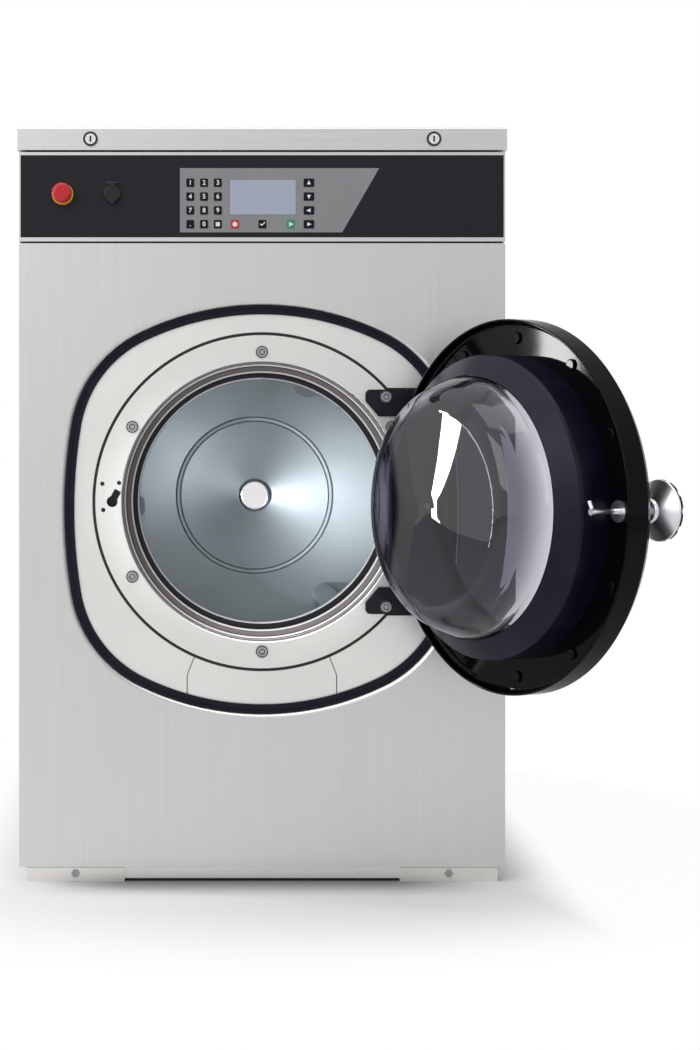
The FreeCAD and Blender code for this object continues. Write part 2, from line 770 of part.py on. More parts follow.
def front_panel():
    skin = block(-HALF_WIDTH, HALF_WIDTH, 0, SHEET, PANEL_BOTTOM, FRONT_TOP)
    right = block(INSIDE, HALF_WIDTH, 0, RETURN_DEPTH, PANEL_BOTTOM, FRONT_TOP)
    top = block(-HALF_WIDTH, HALF_WIDTH, 0, RETURN_DEPTH, FRONT_TOP - SHEET, FRONT_TOP)
    foot = block(-HALF_WIDTH, HALF_WIDTH, 0, BASE_FRONT, PANEL_BOTTOM, PANEL_BOTTOM + SHEET)
    shell = joined(skin, right, mirrored(right), top, foot)
    shell = trimmed(shell, recess_prism(-RECESS_RIM, 0, RING_FACE))
    rim = recess_band(-RECESS_RIM, 0, 0, RING_FACE - RECESS_CLEARANCE)
    mouth = recess_outline(0, 0)
    edges = [edge for edge in rim.Edges
             if edge.BoundBox.YMax < TOUCH and edge.distToShape(mouth)[0] < TOUCH]
    return joined(shell, rim.makeFillet(RECESS_ROLL, edges))


def recess_seal():
    back = RING_FACE - RECESS_CLEARANCE
    bead = recess_band(TOUCH, SEAL_BEAD, RECESS_ROLL, back)
    lip = recess_band(SEAL_BEAD, SEAL_WIDTH, back - SEAL_LIP, back)
    return joined(bead, lip)


# Control strip

def control_frame():
    outer = block(-HALF_WIDTH, HALF_WIDTH, 0, RETURN_DEPTH, CONTROL_BOTTOM, CONTROL_TOP)
    inner = block(-INSIDE, INSIDE, SHEET, RETURN_DEPTH, CONTROL_BOTTOM + SHEET, CONTROL_TOP - SHEET)
    window = block(-WINDOW_HALF, WINDOW_HALF, 0, SHEET, WINDOW_BOTTOM, WINDOW_TOP)
    return trimmed(outer, inner, window)


def board_posts():
    """Places of the posts that carry the control board, about the display's middle height."""
    across = BOARD_WIDTH / 2 - BOARD_POST_INSET
    up = BOARD_HEIGHT / 2 - BOARD_POST_INSET
    return [(x, STOP_Z + z) for x in (-across, across) for z in (-up, up)]


def control_fascia():
    side = INSIDE - TOUCH
    panel = block(-side, side, FASCIA_FRONT, FASCIA_BACK, WINDOW_BOTTOM - FASCIA_LAP,
                  WINDOW_TOP + FASCIA_LAP)
    stop_hole = rod_y(STOP_STEM_RADIUS + FIT, FASCIA_FRONT, FASCIA_BACK, STOP_X, STOP_Z)
    socket_hole = rod_y(SOCKET_NECK + TOUCH, FASCIA_FRONT, FASCIA_BACK, SOCKET_X, SOCKET_Z)
    posts = [rod_y(BOARD_POST_RADIUS, FASCIA_BACK, FASCIA_BACK + BOARD_GAP, x, z)
             for x, z in board_posts()]
    return joined(trimmed(panel, stop_hole, socket_hole), *posts)


def display_block(margin, y0, y1):
    top = OVERLAY_TOP - DISPLAY_DROP
    return block(DISPLAY_LEFT - margin, DISPLAY_LEFT + DISPLAY_WIDTH + margin, y0, y1,
                 top - DISPLAY_HEIGHT - margin, top + margin)


def key_pad(x, z, width):
    half = width / 2
    high = KEY_SIZE / 2
    corners = [(x - half, z - high, KEY_ROUND), (x + half, z - high, KEY_ROUND),
               (x + half, z + high, KEY_ROUND), (x - half, z + high, KEY_ROUND)]
    front = FASCIA_FRONT - OVERLAY_THICK
    return plate(corners, front - KEY_RISE, front)


def keypad_overlay():
    """Sealed membrane: one film with raised pads, and an opening for the display."""
    corners = [(OVERLAY_LEFT, OVERLAY_BOTTOM, 0), (OVERLAY_RIGHT_BOTTOM, OVERLAY_BOTTOM, 0),
               (OVERLAY_RIGHT_TOP, OVERLAY_TOP, 0), (OVERLAY_LEFT, OVERLAY_TOP, 0)]
    film = plate(corners, FASCIA_FRONT - OVERLAY_THICK, FASCIA_FRONT)
    film = trimmed(film, display_block(FIT, 0, FASCIA_FRONT))
    pads = []
    for row in range(KEY_ROWS):
        z = OVERLAY_TOP - FIRST_KEY_DROP - row * KEY_PITCH_Z
        for column in range(KEY_COLUMNS):
            pads.append(key_pad(FIRST_KEY_X + column * KEY_PITCH_X, z, KEY_SIZE))
        pads.append(key_pad(ARROW_KEY_X, z, ARROW_KEY_WIDTH))
    command_z = OVERLAY_TOP - FIRST_KEY_DROP - (KEY_ROWS - 1) * KEY_PITCH_Z
    for x in COMMAND_KEY_X:
        pads.append(key_pad(x, command_z, KEY_SIZE))
    return joined(film, *pads)


def display_window():
    return display_block(0, FASCIA_FRONT - DISPLAY_THICK, FASCIA_FRONT)


def control_board():
    front = FASCIA_BACK + BOARD_GAP
    half = BOARD_WIDTH / 2
    up = BOARD_HEIGHT / 2
    board = block(-half, half, front, front + BOARD_THICK, STOP_Z - up, STOP_Z + up)
    back = front + BOARD_THICK
    chip = CHIP_WIDTH / 2
    parts = []
    for step in (-1, 0, 1):
        x = step * CHIP_PITCH
        parts.append(block(x - chip, x + chip, back, back + CHIP_DEPTH, STOP_Z - chip, STOP_Z + chip))
    return joined(board, *parts)


def electronics_box():
    half = ELECTRONICS_WIDTH / 2
    up = ELECTRONICS_HEIGHT / 2
    back = FASCIA_BACK + ELECTRONICS_DEPTH
    outer = block(-half, half, FASCIA_BACK, back, STOP_Z - up, STOP_Z + up)
    inner = block(-half + SHEET, half - SHEET, FASCIA_BACK, back - SHEET,
                  STOP_Z - up + SHEET, STOP_Z + up - SHEET)
    return trimmed(outer, inner)


# Emergency stop

def stop_collar():
    return ring(STOP_COLLAR_RADIUS, STOP_STEM_RADIUS + FIT, FASCIA_FRONT - STOP_COLLAR_DEPTH, FASCIA_FRONT,
                STOP_X, STOP_Z)


def stop_button():
    """Mushroom cap on a stem, with room for its travel in front of the collar."""
    under = FASCIA_FRONT - STOP_COLLAR_DEPTH - STOP_TRAVEL - FIT
    front = under - STOP_CAP_DEPTH
    tail = FASCIA_BACK + STOP_STEM_TAIL
    return turned([(0, front, 0), (STOP_CAP_RADIUS, front, STOP_CAP_ROUND),
                   (STOP_CAP_RADIUS, under, STOP_EDGE_ROUND), (STOP_STEM_RADIUS, under, 0),
                   (STOP_STEM_RADIUS, tail, 0), (0, tail, 0)], STOP_X, STOP_Z)


def stop_contacts():
    half = STOP_BLOCK_SIZE / 2
    body = block(STOP_X - half, STOP_X + half, FASCIA_BACK, FASCIA_BACK + STOP_BLOCK_DEPTH,
                 STOP_Z - half, STOP_Z + half)
    depth = FASCIA_BACK + STOP_STEM_TAIL + STOP_TRAVEL + FIT
    return trimmed(body, rod_y(STOP_STEM_RADIUS + FIT, FASCIA_BACK, depth, STOP_X, STOP_Z))


# Service socket with a hinged dust cap

def service_socket():
    front = FASCIA_FRONT - SOCKET_RISE
    body = joined(rod_y(SOCKET_RADIUS, front, FASCIA_FRONT, SOCKET_X, SOCKET_Z),
                  rod_y(SOCKET_NECK, FASCIA_FRONT, FASCIA_BACK + SOCKET_TAIL, SOCKET_X, SOCKET_Z))
    body = trimmed(body, rod_y(SOCKET_BORE, front, FASCIA_BACK, SOCKET_X, SOCKET_Z))
    pin_y = FASCIA_FRONT - CAP_PIN_DEPTH
    pin_z = SOCKET_Z + CAP_PIN_RISE
    outer = CAP_TAB_HALF + CAP_EAR
    pieces = [rod_x(CAP_PIN_RADIUS, SOCKET_X - outer, SOCKET_X + outer, pin_y, pin_z)]
    for left in (SOCKET_X - outer, SOCKET_X + CAP_TAB_HALF):
        pieces.append(rod_x(CAP_KNUCKLE, left, left + CAP_EAR, pin_y, pin_z))
        pieces.append(block(left, left + CAP_EAR, pin_y, FASCIA_FRONT, SOCKET_Z + SOCKET_BORE + CAP_EAR,
                            pin_z + CAP_KNUCKLE))
    return joined(body, *pieces)


def dust_cap():
    back = FASCIA_FRONT - SOCKET_RISE - FIT
    front = back - CAP_THICK
    pin_y = FASCIA_FRONT - CAP_PIN_DEPTH
    pin_z = SOCKET_Z + CAP_PIN_RISE
    half = CAP_TAB_HALF - FIT
    disc = turned([(0, front, 0), (CAP_RADIUS, front, CAP_ROUND), (CAP_RADIUS, back, 0), (0, back, 0)],
                  SOCKET_X, SOCKET_Z)
    gap = CAP_TAB_HALF + CAP_EAR + FIT
    slot_z = SOCKET_Z + SOCKET_BORE + CAP_EAR - FIT
    disc = trimmed(disc, block(SOCKET_X - gap, SOCKET_X - half, front, back, slot_z, pin_z + CAP_KNUCKLE),
                   block(SOCKET_X + half, SOCKET_X + gap, front, back, slot_z, pin_z + CAP_KNUCKLE))
    tab = block(SOCKET_X - half, SOCKET_X + half, front, back, SOCKET_Z, pin_z)
    knuckle = rod_x(CAP_KNUCKLE, SOCKET_X - half, SOCKET_X + half, pin_y, pin_z)
    pull = block(SOCKET_X - CAP_PULL / 2, SOCKET_X + CAP_PULL / 2, front, back,
                 SOCKET_Z - CAP_RADIUS - CAP_PULL / 2, SOCKET_Z)
    cap = joined(disc, tab, knuckle, pull)
    return trimmed(cap, rod_x(CAP_PIN_RADIUS + SHAFT_RUNNING, SOCKET_X - gap, SOCKET_X + gap, pin_y, pin_z))


# Top lid, its rear hinges and its two locks

def lid_hinge_places():
    return (-LID_HINGE_X, LID_HINGE_X)


def top_lid():
    outer = block(-LID_HALF, LID_HALF, LID_FRONT, LID_REAR, LID_BOTTOM, LID_TOP)
    edges = [edge for edge in outer.Edges if edge.BoundBox.ZMin > LID_TOP - TOUCH]
    outer = outer.makeFillet(LID_ROUND, edges)
    inner = block(-LID_HALF + SHEET, LID_HALF - SHEET, LID_FRONT + SHEET, LID_REAR - SHEET, LID_BOTTOM,
                  LID_TOP - LID_ROUND)
    shell = trimmed(outer, inner)
    hem = block(LID_HALF - SHEET - LID_HEM, LID_HALF - SHEET, LID_FRONT + SHEET, LID_REAR - SHEET,
                LID_BOTTOM, LID_BOTTOM + SHEET)
    pieces = [hem, mirrored(hem)]
    start = LID_KNUCKLE_HALF + LID_EAR_GAP
    for x in lid_hinge_places():
        for left in (x - start - LID_EAR, x + start):
            pieces.append(rod_x(LID_KNUCKLE_RADIUS, left, left + LID_EAR, LID_AXIS_Y, LID_AXIS_Z))
            pieces.append(block(left, left + LID_EAR, LID_REAR - SHEET, LID_AXIS_Y, LID_AXIS_Z,
                                LID_AXIS_Z + LID_KNUCKLE_RADIUS))
    shell = joined(shell, *pieces)
    reach = start + LID_EAR
    holes = [rod_x(LID_PIN_RADIUS + SHAFT_RUNNING, x - reach, x + reach, LID_AXIS_Y, LID_AXIS_Z)
             for x in lid_hinge_places()]
    for x in (-LOCK_X, LOCK_X):
        holes.append(rod_y(LOCK_SLEEVE_RADIUS + TOUCH, LID_FRONT, LID_FRONT + SHEET, x, LOCK_Z))
    return trimmed(shell, *holes)


def lid_hinge_brackets():
    brackets = []
    for x in lid_hinge_places():
        left = x - LID_KNUCKLE_HALF
        right = x + LID_KNUCKLE_HALF
        top = CONTROL_TOP - REAR_PANEL_DROP
        face = block(left, right, CABINET_DEPTH, CABINET_DEPTH + LID_BRACKET_THICK,
                     top - LID_BRACKET_HEIGHT, top)
        arm = block(left, right, LID_AXIS_Y - LID_KNUCKLE_RADIUS, LID_AXIS_Y + LID_KNUCKLE_RADIUS,
                    top - LID_BRACKET_THICK, LID_AXIS_Z)
        knuckle = rod_x(LID_KNUCKLE_RADIUS, left, right, LID_AXIS_Y, LID_AXIS_Z)
        bore = rod_x(LID_PIN_RADIUS + TOUCH, left, right, LID_AXIS_Y, LID_AXIS_Z)
        brackets.append(trimmed(joined(face, arm, knuckle), bore))
    return brackets


def lid_hinge_pins():
    reach = LID_KNUCKLE_HALF + LID_EAR_GAP + LID_EAR
    return [rod_x(LID_PIN_RADIUS, x - reach, x + reach, LID_AXIS_Y, LID_AXIS_Z) for x in lid_hinge_places()]


def lid_buffers():
    depths = (BUFFER_FROM_FRONT, CABINET_DEPTH - BUFFER_FROM_REAR)
    middle = INSIDE - TOP_FLANGE + 2 * BUFFER_RADIUS
    return [rod_z(BUFFER_RADIUS, CONTROL_TOP, LID_BOTTOM, x, y) for x in (-middle, middle) for y in depths]


def lock_bezel(x):
    front = LID_FRONT - LOCK_BEZEL_RISE
    end = LID_FRONT + LOCK_SLEEVE_LENGTH
    body = joined(rod_y(LOCK_BEZEL_RADIUS, front, LID_FRONT, x, LOCK_Z),
                  rod_y(LOCK_SLEEVE_RADIUS, LID_FRONT, end, x, LOCK_Z))
    return trimmed(body, rod_y(LOCK_BARREL_RADIUS + SHAFT_RUNNING, front, end, x, LOCK_Z))


def lock_barrel(x):
    front = LID_FRONT - LOCK_BEZEL_RISE
    end = front + LOCK_BARREL_LENGTH
    barrel = rod_y(LOCK_BARREL_RADIUS, front, end, x, LOCK_Z)
    half = LOCK_CAM_WIDTH / 2
    cam = block(x - half, x + half, end, end + LOCK_CAM_THICK, LOCK_Z - LOCK_CAM_LENGTH, LOCK_Z + half)
    slot = block(x - KEY_SLOT_WIDTH / 2, x + KEY_SLOT_WIDTH / 2, front, front + KEY_SLOT_DEPTH,
                 LOCK_Z - KEY_SLOT_LENGTH / 2, LOCK_Z + KEY_SLOT_LENGTH / 2)
    return trimmed(joined(barrel, cam), slot)


# Surround plate, its access cover and the ring that carries both

def cover_prism(gap):
    """The access cover's sides, drawn in by gap."""
    low = RECESS_Z - RECESS_HALF_HEIGHT - SURROUND_LAP - COVER_GAP
    wide = COVER_HALF_WIDTH - gap
    narrow = COVER_TOP_HALF_WIDTH - gap
    shoulder = AXIS_Z - COVER_SHOULDER
    top = AXIS_Z - COVER_TOP
    corners = [(-wide, low, 0), (wide, low, 0), (wide, shoulder, 0), (narrow, top, 0), (-narrow, top, 0),
               (-wide, shoulder, 0)]
    return plate(corners, RING_FACE, CARRIER_FRONT)


def hinge_pads(margin, y0, y1):
    """Outline of both hinge brackets' feet, grown by margin."""
    pads = []
    for low, high in ((HINGE_LOW, HINGE_HIGH), (-HINGE_HIGH, -HINGE_LOW)):
        pads.append(block(HINGE_BASE_LEFT - margin, HINGE_BASE_RIGHT + margin, y0, y1,
                          AXIS_Z + low - margin, AXIS_Z + high + margin))
    return pads


def surround_blank():
    blank = recess_prism(-SURROUND_LAP, RING_FACE, CARRIER_FRONT)
    return trimmed(blank, rod_y(SURROUND_HOLE, RING_FACE, CARRIER_FRONT, 0, AXIS_Z))


def surround_plate():
    notches = hinge_pads(GROOVE_WIDTH - HINGE_PAD_INSET, RING_FACE, CARRIER_FRONT)
    return trimmed(surround_blank(), cover_prism(0), *notches)


def lower_access_cover():
    return surround_blank().common(cover_prism(COVER_GAP))


def surround_carrier():
    back = CARRIER_FRONT + CARRIER_THICK
    return trimmed(ring(CARRIER_OUTER, CARRIER_INNER, CARRIER_FRONT, back),
                   *hinge_pads(FIT - HINGE_PAD_INSET, CARRIER_FRONT, back))


# Door mounting ring on the front of the tub

def keyhole(y0, y1):
    """Round hole for the latch shaft with a slot for its hook."""
    hole = rod_y(KEYHOLE_RADIUS, y0, y1, HANDLE_X, AXIS_Z)
    half = KEYHOLE_SLOT_WIDTH / 2
    slot = block(HANDLE_X, HANDLE_X + KEYHOLE_SLOT_REACH, y0, y1, AXIS_Z - half, AXIS_Z + half)
    return hole.fuse(turned_about(slot, HOOK_ANGLE, HANDLE_X, AXIS_Z))


def ring_bolt_places():
    return around(RING_BOLT_COUNT, FIRST_BOLT_ANGLE, RING_BOLT_CIRCLE)


def hinge_bolt_places():
    return [(HINGE_BOLT_X, AXIS_Z + HINGE_BOLT_Z), (HINGE_BOLT_X, AXIS_Z - HINGE_BOLT_Z)]


def door_ring():
    lip_front = RING_FACE + LIP_DEPTH
    lip_back = lip_front + LIP_LENGTH
    throat_back = RING_FACE + THROAT_DEPTH
    outer_throat = THROAT_RADIUS + RING_FORM_SHEET
    outer_lip = LIP_RADIUS + RING_FORM_SHEET
    body = turned([(RING_OUTER, RING_FACE, 0), (RING_OUTER, CARRIER_FRONT, 0),
                   (CARRIER_INNER - FIT, CARRIER_FRONT, 0), (CARRIER_INNER - FIT, RING_BACK, 0),
                   (outer_throat, RING_BACK, 0), (outer_throat, throat_back + RING_FORM_SHEET / 2, 0),
                   (outer_lip, lip_front + RING_FORM_SHEET / 2, 0), (outer_lip, lip_back, 0),
                   (LIP_RADIUS, lip_back, 0), (LIP_RADIUS, lip_front, LIP_ROUND),
                   (THROAT_RADIUS, throat_back, THROAT_ROUND),
                   (THROAT_RADIUS, RING_FACE, MOUTH_ROUND)], 0, AXIS_Z)
    pads = hinge_pads(-HINGE_PAD_INSET, RING_FACE, RING_BACK)
    throat = rod_y(THROAT_RADIUS + RING_FORM_SHEET, RING_FACE, RING_BACK, 0, AXIS_Z)
    body = joined(body, *[pad.cut(throat) for pad in pads])
    tools = [keyhole(RING_FACE, RING_BACK)]
    for x, z in ring_bolt_places() + hinge_bolt_places():
        tools.append(rod_y(RING_BOLT_RADIUS + FIT, RING_FACE, RING_BACK, x, z))
    for x, z in RING_PINHOLES:
        tools.append(rod_y(RING_PINHOLE_RADIUS, RING_FACE, RING_BACK, x, AXIS_Z + z))
    return trimmed(body, *tools)


def socket_bolt(x, z, seat, tip):
    """Socket-head bolt with a washer, seated at one depth and ending at another."""
    washer = rod_y(RING_WASHER_RADIUS, seat - RING_WASHER, seat, x, z)
    top = seat - RING_WASHER - RING_BOLT_HEAD
    head = rod_y(RING_BOLT_HEAD_RADIUS, top, seat - RING_WASHER, x, z)
    shank = rod_y(RING_BOLT_RADIUS, seat, tip, x, z)
    recess = hexagon(RING_SOCKET_RADIUS, top, top + RING_SOCKET_DEPTH, x, z)
    return trimmed(joined(washer, head, shank), recess)


def ring_bolts():
    return [socket_bolt(x, z, RING_FACE, TUB_FRONT + TUB_FRONT_THICK)
            for x, z in ring_bolt_places()]


def ring_spacers():
    return [ring(SPACER_RADIUS, RING_BOLT_RADIUS + FIT, RING_BACK, TUB_FRONT, x, z)
            for x, z in ring_bolt_places()]


def door_lock():
    """Housing behind the keyhole, hollow so that the hook can turn in it."""
    low = AXIS_Z - LOCK_BOX_HALF_HEIGHT
    high = AXIS_Z + LOCK_BOX_HALF_HEIGHT
    outer = block(LOCK_BOX_LEFT, LOCK_BOX_RIGHT, RING_BACK, TUB_FRONT, low, high)
    inner = block(LOCK_BOX_LEFT + LOCK_BOX_WALL, LOCK_BOX_RIGHT - LOCK_BOX_WALL, RING_BACK,
                  TUB_FRONT - LOCK_BOX_WALL, low + LOCK_BOX_WALL, high - LOCK_BOX_WALL)
    return trimmed(outer, inner)


# Hinges between the ring and the door

def hinge_ear(low, high):
    """One upright ear from the bracket's foot to the hinge pin."""
    foot = RING_FACE - HINGE_BASE
    round_end = rod_z(HINGE_EAR_RADIUS, low, high, HINGE_X, HINGE_Y)
    stem = block(HINGE_X - HINGE_EAR_RADIUS, HINGE_X + HINGE_EAR_RADIUS, HINGE_Y, foot, low, high)
    return round_end.fuse(stem)


def upper_hinge_bracket():
    low = AXIS_Z + HINGE_LOW
    high = AXIS_Z + HINGE_HIGH
    outline = Part.makePolygon([
        vec(HINGE_BASE_LEFT, RING_FACE, high), vec(HINGE_BASE_RIGHT, RING_FACE, high),
        vec(HINGE_BASE_RIGHT, RING_FACE, low), vec(HINGE_TOE_X, RING_FACE, low),
        vec(HINGE_BASE_LEFT, RING_FACE, AXIS_Z + HINGE_TOE_Z), vec(HINGE_BASE_LEFT, RING_FACE, high)])
    foot = Part.Face(outline).extrude(vec(0, -HINGE_BASE, 0))
    edges = [edge for edge in foot.Edges
             if edge.BoundBox.XMax < HINGE_BASE_LEFT + TOUCH and edge.BoundBox.YLength > TOUCH]
    foot = foot.makeFillet(HINGE_BASE, edges)
    body = joined(foot, hinge_ear(low, low + HINGE_EAR), hinge_ear(high - HINGE_EAR, high))
    x, z = hinge_bolt_places()[0]
    return trimmed(body, rod_z(HINGE_PIN_RADIUS + TOUCH, low, high, HINGE_X, HINGE_Y),
                   rod_y(RING_BOLT_RADIUS + FIT, RING_FACE - HINGE_BASE, RING_FACE, x, z))


def below_axis(shape):
    """The same piece at the lower hinge."""
    return shape.mirror(vec(0, 0, AXIS_Z), vec(0, 0, 1))


def hinge_pin():
    low = AXIS_Z + HINGE_LOW - HINGE_PIN_PROUD
    high = AXIS_Z + HINGE_HIGH + HINGE_PIN_PROUD
    return rod_z(HINGE_PIN_RADIUS, low, high, HINGE_X, HINGE_Y)


def hinge_bolts():
    return [socket_bolt(x, z, RING_FACE - HINGE_BASE, RING_BACK) for x, z in hinge_bolt_places()]


def upper_hinge_arm():
    """Knuckle on the pin with an arm to the door's rim."""
    low = AXIS_Z + HINGE_LOW + HINGE_EAR + HINGE_EAR_GAP
    high = AXIS_Z + HINGE_HIGH - HINGE_EAR - HINGE_EAR_GAP
    knuckle = rod_z(KNUCKLE_RADIUS, low, high, HINGE_X, HINGE_Y)
    outline = Part.makePolygon([
        vec(HINGE_X, HINGE_Y - KNUCKLE_RADIUS, low), vec(HINGE_X, HINGE_Y + KNUCKLE_RADIUS, low),
        vec(ARM_ROOT_X, HINGE_Y + ARM_ROOT_FAR, low), vec(ARM_ROOT_X, HINGE_Y + ARM_ROOT_NEAR, low),
        vec(HINGE_X, HINGE_Y - KNUCKLE_RADIUS, low)])
    arm = Part.Face(outline).extrude(vec(0, 0, high - low))
    rim = rod_y(RIM_RADIUS, HINGE_Y + TRIM_APEX, HINGE_Y + RIM_NEAR, 0, AXIS_Z)
    return trimmed(joined(knuckle, arm), rim,
                   rod_z(HINGE_PIN_RADIUS + SHAFT_RUNNING, low, high, HINGE_X, HINGE_Y))


# Door, modelled closed

def door_turned(corners):
    """Turned piece of the door from corners (radius, depth from the hinge axis, rounding)."""
    return turned([(radius, HINGE_Y + depth, rounding) for radius, depth, rounding in corners], 0, AXIS_Z)


def door_screw_places():
    places = []
    for angle in DOOR_SCREW_ANGLES:
        for side in (1, -1):
            turn = math.radians(side * angle)
            places.append((DOOR_SCREW_CIRCLE * math.cos(turn), AXIS_Z + DOOR_SCREW_CIRCLE * math.sin(turn)))
    return places


def door_screw_holes(near, far):
    return [rod_y(DOOR_SCREW_RADIUS + TOUCH, HINGE_Y + near, HINGE_Y + far, x, z)
            for x, z in door_screw_places()]


def door_dish():
    inner = RIM_RADIUS - RIM_WALL
    hole = GLASS_RADIUS + GLASS_HOLE_GAP
    back = DISH_DEPTH - DISH_THICK
    body = door_turned([(RIM_RADIUS, RIM_NEAR, RIM_ROUND), (RIM_RADIUS, RIM_FAR, 0), (inner, RIM_FAR, 0),
                        (inner, back, 0), (hole, back, 0), (hole, DISH_DEPTH, 0),
                        (inner, DISH_DEPTH, DISH_ROUND), (inner, RIM_NEAR, RIM_ROUND)])
    bush = rod_y(BUSH_RADIUS + TOUCH, HINGE_Y + back, HINGE_Y + DISH_DEPTH, HANDLE_X, AXIS_Z)
    return trimmed(body, bush, *door_screw_holes(back, DISH_DEPTH))


def door_seal():
    inner = SEAL_RADIUS - SEAL_WALL
    tip = GLASS_RADIUS + FIT
    return door_turned([(SEAL_RADIUS, DISH_DEPTH, 0), (SEAL_RADIUS, SEAL_SHOULDER, SEAL_ROUND),
                        (tip, SEAL_TIP_DEPTH, SEAL_TIP_ROUND), (tip, SEAL_TIP_DEPTH - SEAL_TIP_WALL, 0),
                        (inner, SEAL_SHOULDER - SEAL_WALL / 2, 0), (inner, DISH_DEPTH, 0)])


def door_glass():
    back = DISH_DEPTH - DISH_THICK
    front = back - GLASS_WALL
    inner = GLASS_RADIUS - GLASS_WALL
    end = GLASS_END_DEPTH - GLASS_CROWN
    return door_turned([(0, GLASS_END_DEPTH, 0), (GLASS_END_RADIUS, end, GLASS_CORNER),
                        (GLASS_RADIUS, GLASS_BEND_DEPTH, GLASS_BEND), (GLASS_RADIUS, back, 0),
                        (GLASS_RADIUS + GLASS_FLANGE, back, 0), (GLASS_RADIUS + GLASS_FLANGE, front, 0),
                        (inner, front, 0), (inner, GLASS_BEND_DEPTH, GLASS_BEND - GLASS_WALL),
                        (GLASS_END_RADIUS - GLASS_WALL, end - GLASS_WALL, GLASS_CORNER - GLASS_WALL),
                        (0, GLASS_END_DEPTH - GLASS_WALL, 0)])


def door_trim():
    """Domed outer ring that clamps the glass and leaves the window open."""
    clamp = DISH_DEPTH - DISH_THICK - GLASS_WALL
    back = DISH_DEPTH - DISH_THICK
    body = door_turned([
        (RIM_RADIUS, RIM_FAR, 0), (RIM_RADIUS, RIM_FAR - TRIM_SHEET, TRIM_EDGE_ROUND),
        (TRIM_OUTER_RADIUS, TRIM_OUTER_DEPTH, TRIM_ROUND), (TRIM_APEX_RADIUS, TRIM_APEX, TRIM_ROUND),
        (TRIM_INNER_RADIUS, TRIM_INNER_DEPTH, TRIM_ROUND),
        (TRIM_WINDOW_RADIUS, TRIM_WINDOW_DEPTH, TRIM_SHEET), (TRIM_WINDOW_RADIUS, clamp, 0),
        (TRIM_WINDOW_RADIUS + TRIM_SHEET, clamp, 0),
        (TRIM_WINDOW_RADIUS + TRIM_SHEET, TRIM_WINDOW_DEPTH + TRIM_SHEET / 2, 0),
        (TRIM_INNER_RADIUS + TRIM_SHEET / 2, TRIM_INNER_DEPTH + TRIM_SHEET, 0),
        (TRIM_APEX_RADIUS, TRIM_APEX + TRIM_SHEET, 0),
        (TRIM_OUTER_RADIUS - TRIM_SHEET / 2, TRIM_OUTER_DEPTH + TRIM_SHEET, 0),
        (RIM_RADIUS - RIM_WALL, RIM_FAR, 0)])
    boss_start = TRIM_APEX + TRIM_SHEET + TRIM_SHEET / 2
    bosses = [rod_y(DOOR_BOSS_RADIUS, HINGE_Y + boss_start, HINGE_Y + back, x, z)
              for x, z in door_screw_places()]
    bush = rod_y(BUSH_RADIUS + TOUCH, HINGE_Y + BUSH_END, HINGE_Y + back, HANDLE_X, AXIS_Z)
    screw_tip = DISH_DEPTH - DOOR_SCREW_LENGTH
    return trimmed(joined(body, *bosses), bush, *door_screw_holes(screw_tip, back))


def door_screws():
    seat = HINGE_Y + DISH_DEPTH
    screws = []
    for x, z in door_screw_places():
        top = seat + DOOR_SCREW_HEAD
        head = turned([(0, top, 0), (DOOR_SCREW_HEAD_RADIUS, top, DOOR_SCREW_ROUND),
                       (DOOR_SCREW_HEAD_RADIUS, seat, 0), (0, seat, 0)], x, z)
        screws.append(joined(head, rod_y(DOOR_SCREW_RADIUS, seat - DOOR_SCREW_LENGTH, seat, x, z)))
    return screws


# Turn handle

def handle_bush():
    """Bearing tube through the door for the latch shaft, with its escutcheon inside."""
    seat = HINGE_Y + DISH_DEPTH
    tube = rod_y(BUSH_RADIUS, HINGE_Y + BUSH_END, seat, HANDLE_X, AXIS_Z)
    flange = rod_y(ESCUTCHEON_RADIUS, seat, seat + ESCUTCHEON_THICK, HANDLE_X, AXIS_Z)
    bore = rod_y(LATCH_RADIUS + SHAFT_RUNNING, HINGE_Y + BUSH_END, seat + ESCUTCHEON_THICK, HANDLE_X,
                 AXIS_Z)
    return trimmed(joined(tube, flange), bore)


def latch_shaft():
    tip = HINGE_Y + LATCH_TIP
    middle = tip - HOOK_RADIUS - HOOK_MARGIN
    collar = middle - HOOK_RADIUS - HOOK_MARGIN
    shaft = rod_y(LATCH_RADIUS, HINGE_Y + GRIP_BACK, tip, HANDLE_X, AXIS_Z)
    end = rod_y(LATCH_TIP_RADIUS, collar, tip, HANDLE_X, AXIS_Z)
    hook = rod_x(HOOK_RADIUS, HANDLE_X, HANDLE_X + HOOK_LENGTH, middle, AXIS_Z)
    return joined(shaft, end, turned_about(hook, HOOK_ANGLE, HANDLE_X, AXIS_Z))


def handle_knob():
    start = HINGE_Y + KNOB_BACK
    waist = start - KNOB_NECK
    end = HINGE_Y + KNOB_FLARE_END
    return turned([(LATCH_RADIUS, start, 0), (KNOB_NECK_RADIUS, start, KNOB_NECK_ROUND),
                   (KNOB_NECK_RADIUS, waist - KNOB_WAIST, KNOB_FLARE_ROUND),
                   (KNOB_RADIUS, end + KNOB_RIM, KNOB_RIM_ROUND), (KNOB_RADIUS, end, 0),
                   (LATCH_RADIUS, end, 0)], HANDLE_X, AXIS_Z)


def handle_grip():
    back = HINGE_Y + GRIP_BACK
    front = HINGE_Y + GRIP_END
    disc = turned([(0, back, 0), (KNOB_RADIUS, back, 0), (KNOB_RADIUS, front, GRIP_ROUND), (0, front, 0)],
                  HANDLE_X, AXIS_Z)
    reach = KNOB_RADIUS + SCALLOP_RADIUS - SCALLOP_BITE
    bites = []
    for index in range(GRIP_SCALLOPS):
        angle = 2 * math.pi * index / GRIP_SCALLOPS
        x = HANDLE_X + reach * math.cos(angle)
        bites.append(rod_y(SCALLOP_RADIUS, front, back, x, AXIS_Z + reach * math.sin(angle)))
    return trimmed(disc, *bites)


# Tub

